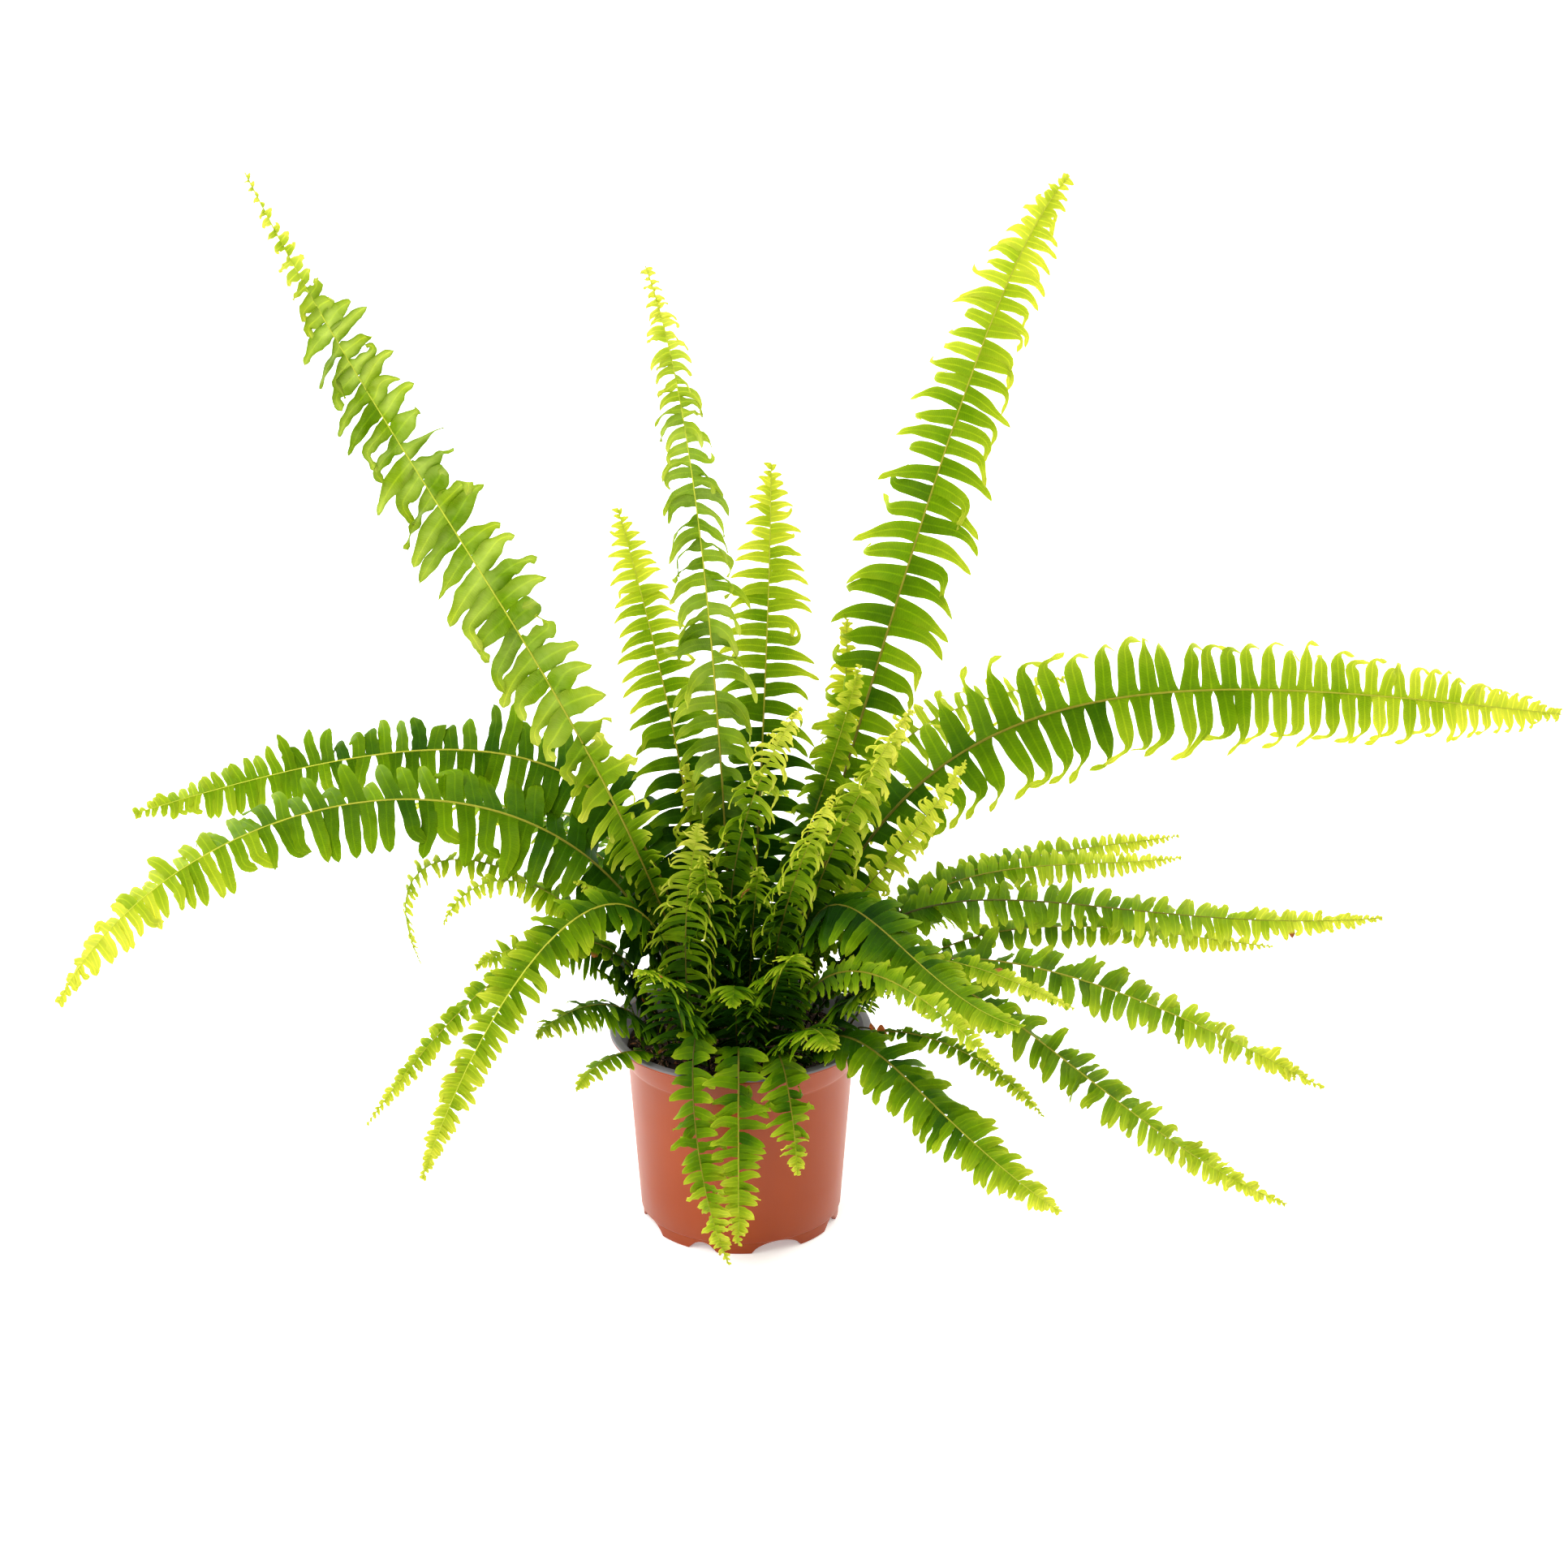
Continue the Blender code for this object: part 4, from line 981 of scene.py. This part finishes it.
def soil_material():
    """Peat: black-brown, with rust-brown crumbs, told apart by each piece's tone."""
    made, tree, shader = new_material("soil", 0.95, 0.1)
    coarse = noise_factor(tree, 330.0, 6.0, 0.7)
    stops = (
        (0.25, (0.006, 0.004, 0.003)),
        (0.48, (0.022, 0.012, 0.007)),
        (0.66, (0.055, 0.026, 0.012)),
        (0.82, (0.17, 0.065, 0.022)),
        (0.95, (0.34, 0.17, 0.07)),
    )
    place = weigh(tree, attribute(tree, "tone"), 0.6, coarse, 0.55)
    tree.links.new(ramp(tree, place, stops), shader.inputs["Base Color"])
    bump(tree, shader, coarse, 0.9, 0.0008)
    return made


def soil_level(radius, turn):
    """Height of the soil's lumpy top, as in the part."""
    wave = np.sin(0.21 * radius + 3.0 * turn) * np.cos(0.13 * radius - 2.0 * turn)
    return SOIL_TOP - SOIL_LUMPS * (0.5 + 0.5 * wave)


def soil_rim():
    """The radius at which the soil's top meets the pot."""
    high = inner_wall_radius(STEP_HEIGHT) - SEAT_GAP
    flare = (COLLAR_TOP_RADIUS - POT_WALL - high) / (POT_HEIGHT - LIP_THICKNESS - 1.0 - STEP_HEIGHT)
    return high + (SOIL_TOP - SOIL_LUMPS - STEP_HEIGHT) * flare - SEAT_GAP


def make_soil():
    """The filled body of the soil with a crumbly top, then loose crumbs, chips and fibres on it."""
    rng = np.random.default_rng(SOIL_SEED)
    rim = soil_rim()
    floor = FLOOR_HEIGHT + POT_WALL + SEAT_GAP
    foot = inner_wall_radius(floor)
    turns = np.linspace(0, 2 * np.pi, SOIL_SIDES, endpoint=False)
    body = ((0.0, floor), (foot - 1.3, floor), (foot - SEAT_GAP, floor + 0.5))
    body += ((inner_wall_radius(STEP_HEIGHT) - SEAT_GAP, STEP_HEIGHT),)
    rows = [circle(radius, turns, height) for radius, height in body]
    for share in np.linspace(1.0, 0.0, SOIL_RINGS):
        radius = rim * share
        places = [Vector((*polar(radius, turn), 0.0)) for turn in turns]
        rough = np.array([noise.fractal(place * 0.35, 0.9, 2.1, 5) for place in places])
        level = soil_level(radius, turns) + 0.9 * rough * min(1.0, share * 5)
        rows.append(circle(radius, turns, np.minimum(level, SOIL_TOP + 0.6)))
    rows[-1][:, 2] = rows[-1][:, 2].mean()
    builder = Builder()
    builder.add(np.concatenate(rows), band_quads(len(rows), SOIL_SIDES), 0, tone=0.28)
    for _ in range(SOIL_CRUMBS):
        radius = (rim - 1.5) * math.sqrt(rng.random())
        turn = rng.uniform(0, 2 * math.pi)
        size = rng.uniform(0.4, 1.0) ** 2 * 3.0
        add_crumb(builder, radius, turn, size, rng)
    for _ in range(SOIL_FIBRES):
        add_fibre(builder, (rim - 4.0) * math.sqrt(rng.random()), rng.uniform(0, 2 * math.pi), rng)
    soil = builder.mesh("fine_soil", (soil_material(),))
    weld(soil, 1e-7)
    mount(soil, "soil")


def add_crumb(builder, radius, turn, size, rng):
    """A broken lump of peat or bark: a small rounded block, pushed about at its corners."""
    middle = np.array((*polar(radius, turn), soil_level(radius, turn) + size * 0.15))
    stretch = rng.uniform(0.5, 1.2, 3) * (1.0, 1.0, 0.7)
    spin = rng.uniform(0, 2 * math.pi)
    grid = np.array(list(product((-1.0, 0.0, 1.0), repeat=3)))[:, ::-1]
    grid = grid / np.maximum(1.0, np.linalg.norm(grid, axis=1, keepdims=True))
    grid = grid * (1 + rng.normal(0, 0.16, (27, 1))) * stretch * size / 2
    x = grid[:, 0] * math.cos(spin) - grid[:, 1] * math.sin(spin)
    y = grid[:, 0] * math.sin(spin) + grid[:, 1] * math.cos(spin)
    builder.add(np.stack([x, y, grid[:, 2]], -1) + middle, CRUMB_QUADS, 0, tone=rng.random() ** 1.6)


def crumb_quads():
    """The 24 outer squares of a block of three by three by three points."""
    quads = []
    for axis, side, i, j in product(range(3), (0, 2), (0, 1), (0, 1)):
        step, other = (3**k for k in range(3) if k != axis)
        a = side * 3**axis + i * step + j * other
        square = (a, a + step, a + step + other, a + other)
        flip = (side == 2) == (axis == 1)
        quads.append(square[::-1] if flip else square)
    return np.array(quads)


CRUMB_QUADS = crumb_quads()


def add_fibre(builder, radius, turn, rng):
    """A root hair or coir fibre lying in a loose curve on the soil."""
    heading = rng.uniform(0, 2 * math.pi)
    bend = rng.normal(0, 0.25)
    place = polar(radius, turn)
    places = []
    for _ in range(FIBRE_STEPS):
        places.append(place)
        heading += bend + rng.normal(0, 0.15)
        place = place + polar(1.0, heading) * 0.9
    line = np.array(places)
    reach = np.linalg.norm(line, axis=1)
    line = line * np.minimum(1.0, (soil_rim() - 1.5) / reach)[:, None]
    level = soil_level(np.linalg.norm(line, axis=1), np.arctan2(line[:, 1], line[:, 0])) + 0.5
    level = level + 0.8 * np.sin(np.linspace(0, math.pi, FIBRE_STEPS)) * rng.random()
    spine = np.column_stack((line, level))
    along = unit(np.gradient(spine, axis=0))
    side = unit(np.cross(along, (0.0, 0.0, 1.0)))
    radius = np.full(FIBRE_STEPS, rng.uniform(0.08, 0.2))
    add_tube(builder, spine, side, np.cross(side, along), radius, 6, 0, tone=rng.uniform(0.3, 0.9))


def runner_line(runner):
    """Centre line of a runner, as in the part, rounded into one smooth curve."""
    over = POT_HEIGHT + 2.4
    places = (
        (runner.root, SOIL_TOP - RUNNER_DEPTH),
        (runner.root, SOIL_TOP + 1.0),
        (runner.root + 4.0, over - 1.0),
        (LIP_RADIUS - 3.5, over + 0.8),
        (LIP_RADIUS + 2.4, over - 0.8),
        (LIP_RADIUS + 4.8, over - 6.0),
        (runner.reach, runner.height),
    )
    count = len(places) - 1
    knots = np.array([
        around(runner.heading, out, up, runner.sway * (index / count) ** 2)
        for index, (out, up) in enumerate(places)
    ])
    line = []
    for t in np.linspace(0, count, RUNNER_STEPS):
        i = min(int(t), count - 1)
        s = t - i
        before, start, end, after = (knots[min(max(i + k, 0), count)] for k in (-1, 0, 1, 2))
        line.append(0.5 * (
            2 * start + (end - before) * s + (2 * before - 5 * start + 4 * end - after) * s * s
            + (3 * start - before - 3 * end + after) * s**3
        ))
    return np.array(line)


def add_scrap(builder, place, length, material, rng):
    """A dried leaflet caught in a curl."""
    rows, columns = GRIDS["small"]
    u = np.linspace(0.0, 1.0, rows + 1)
    v = np.linspace(-1.0, 1.0, columns + 1)
    heading = unit(rng.normal(0, 0.3, 3) + (0.8, -0.3, 0.5))
    across = unit(np.cross(heading, (0.0, -1.0, 0.3)))
    face = np.cross(across, heading)
    bend = 1.7 * u
    spine = place + length / 1.7 * (np.outer(np.sin(bend), heading) + np.outer(1.0 - np.cos(bend), face))
    reach = (0.36 * length * np.sin(np.pi * (0.1 + 0.84 * u)))[:, None] * v
    surface = spine[:, None, :] + reach[..., None] * across + (0.5 * np.abs(reach))[..., None] * face
    marks = {"dry": 1.0, "tone": rng.random(), "leaf_u": 0.5, "leaf_v": 0.5}
    add_sheet(builder, surface, face[None], "small", material, **marks)


def make_runners(finish, leaf_finish):
    for index, runner in enumerate(RUNNERS):
        rng = np.random.default_rng(RUNNER_SEED + index)
        builder = Builder()
        line = runner_line(runner)
        wobble = np.cumsum(rng.normal(0, 0.05, line.shape), axis=0) * np.linspace(0, 1, len(line))[:, None]
        line = line + wobble
        along = unit(np.gradient(line, axis=0))
        side = around(runner.heading, 0.0, 0.0, 1.0)
        up = unit(np.cross(along, side))
        radius = np.linspace(*RUNNER_RADII, len(line)) * (1 + rng.normal(0, 0.06, len(line)))
        age = np.linspace(0, 0.4, len(line))
        add_tube(builder, line, np.cross(up, along), up, radius, RUNNER_SIDES, 0, tone=0.12, age=age)
        for _ in range(RUNNER_HAIRS):
            k = rng.integers(8, len(line) - 1)
            lean = unit(rng.normal(0, 1, 3) + along[k])
            spine = np.linspace(line[k], line[k] + lean * rng.uniform(0.8, 2.0), HAIR_STEPS)
            across = unit(np.cross(lean, (0.3, 0.5, 0.81)))
            radius = np.linspace(*HAIR_RADII, HAIR_STEPS)
            add_tube(builder, spine, across, np.cross(across, lean), radius, 4, 0, tone=0.3)
        for k in SCRAPS:
            add_scrap(builder, line[k], rng.uniform(6.0, 9.0), 1, rng)
        mount(builder.mesh("fine_" + runner.name, (finish, leaf_finish)), runner.name)


# The camera of the photograph: focal length and picture side in pixels, place and dip in degrees.
SENSOR = 36.0
FOCAL_LENGTH = 4300.0
PICTURE_SIDE = 1932.0
CAMERA_PLACE = (0.020, -1.462, 0.745)
CAMERA_DIP = 20.06

# Name, place, target, side length and power of each lamp.
LAMPS = (
    ("key", (-0.8, -1.3, 1.7), (0, 0, 0.2), 1.4, 33),
    ("back_left", (-1.5, 1.2, 0.9), (0, 0, 0.2), 1.4, 29),
    ("back_right", (1.5, 1.2, 0.9), (0, 0, 0.2), 1.4, 29),
    ("top", (0, 0.2, 2.4), (0, 0, 0), 2.4, 46),
)


def main_camera():
    data = bpy.data.cameras.new("camera")
    data.sensor_width = SENSOR
    data.lens = SENSOR * FOCAL_LENGTH / PICTURE_SIDE
    camera = new_object("camera", data)
    camera.location = AXIS + Vector(CAMERA_PLACE)
    camera.rotation_euler = (math.radians(90.0 - CAMERA_DIP), 0.0, 0.0)
    bpy.context.scene.camera = camera


def area_light(name, place, target, side, power):
    data = bpy.data.lights.new(name, "AREA")
    data.shape = "RECTANGLE"
    data.size = side
    data.size_y = side
    data.energy = power
    lamp = new_object(name, data)
    lamp.location = place
    lamp.rotation_euler = (Vector(target) - Vector(place)).to_track_quat("-Z", "Y").to_euler()


def studio():
    scene = bpy.context.scene
    scene.view_settings.view_transform = "Standard"
    world = bpy.data.worlds.new("studio")
    world.use_nodes = True
    tree = world.node_tree
    background = tree.nodes["Background"]
    background.inputs["Color"].default_value = (1, 1, 1, 1)
    place = tree.nodes.new("ShaderNodeTexCoord")
    parts = make_node(tree, "SeparateXYZ", {0: place.outputs["Generated"]})
    # Full light from behind and above, little from the front.
    depth = calculate(tree, "MULTIPLY_ADD", parts.outputs[1], 0.62, 0.78)
    tree.links.new(depth, background.inputs["Strength"])
    scene.world = world
    for lamp in LAMPS:
        area_light(*lamp)
    bpy.ops.mesh.primitive_plane_add(size=40, location=(0, 0, 0))
    floor = bpy.context.object
    floor.name = "floor"
    made, _, shader = new_material("floor", 0.8, 0.1)
    shader.inputs["Base Color"].default_value = (0.95, 0.95, 0.95, 1)
    shader.inputs["Emission Color"].default_value = (1, 1, 1, 1)
    shader.inputs["Emission Strength"].default_value = 0.35
    floor.data.materials.append(made)


main_camera()
studio()
make_pot()
make_soil()
rib_finish = rib_material()
leaf_finish = leaf_material()
make_runners(rib_finish, leaf_finish)
make_fronds(rib_finish, leaf_finish)
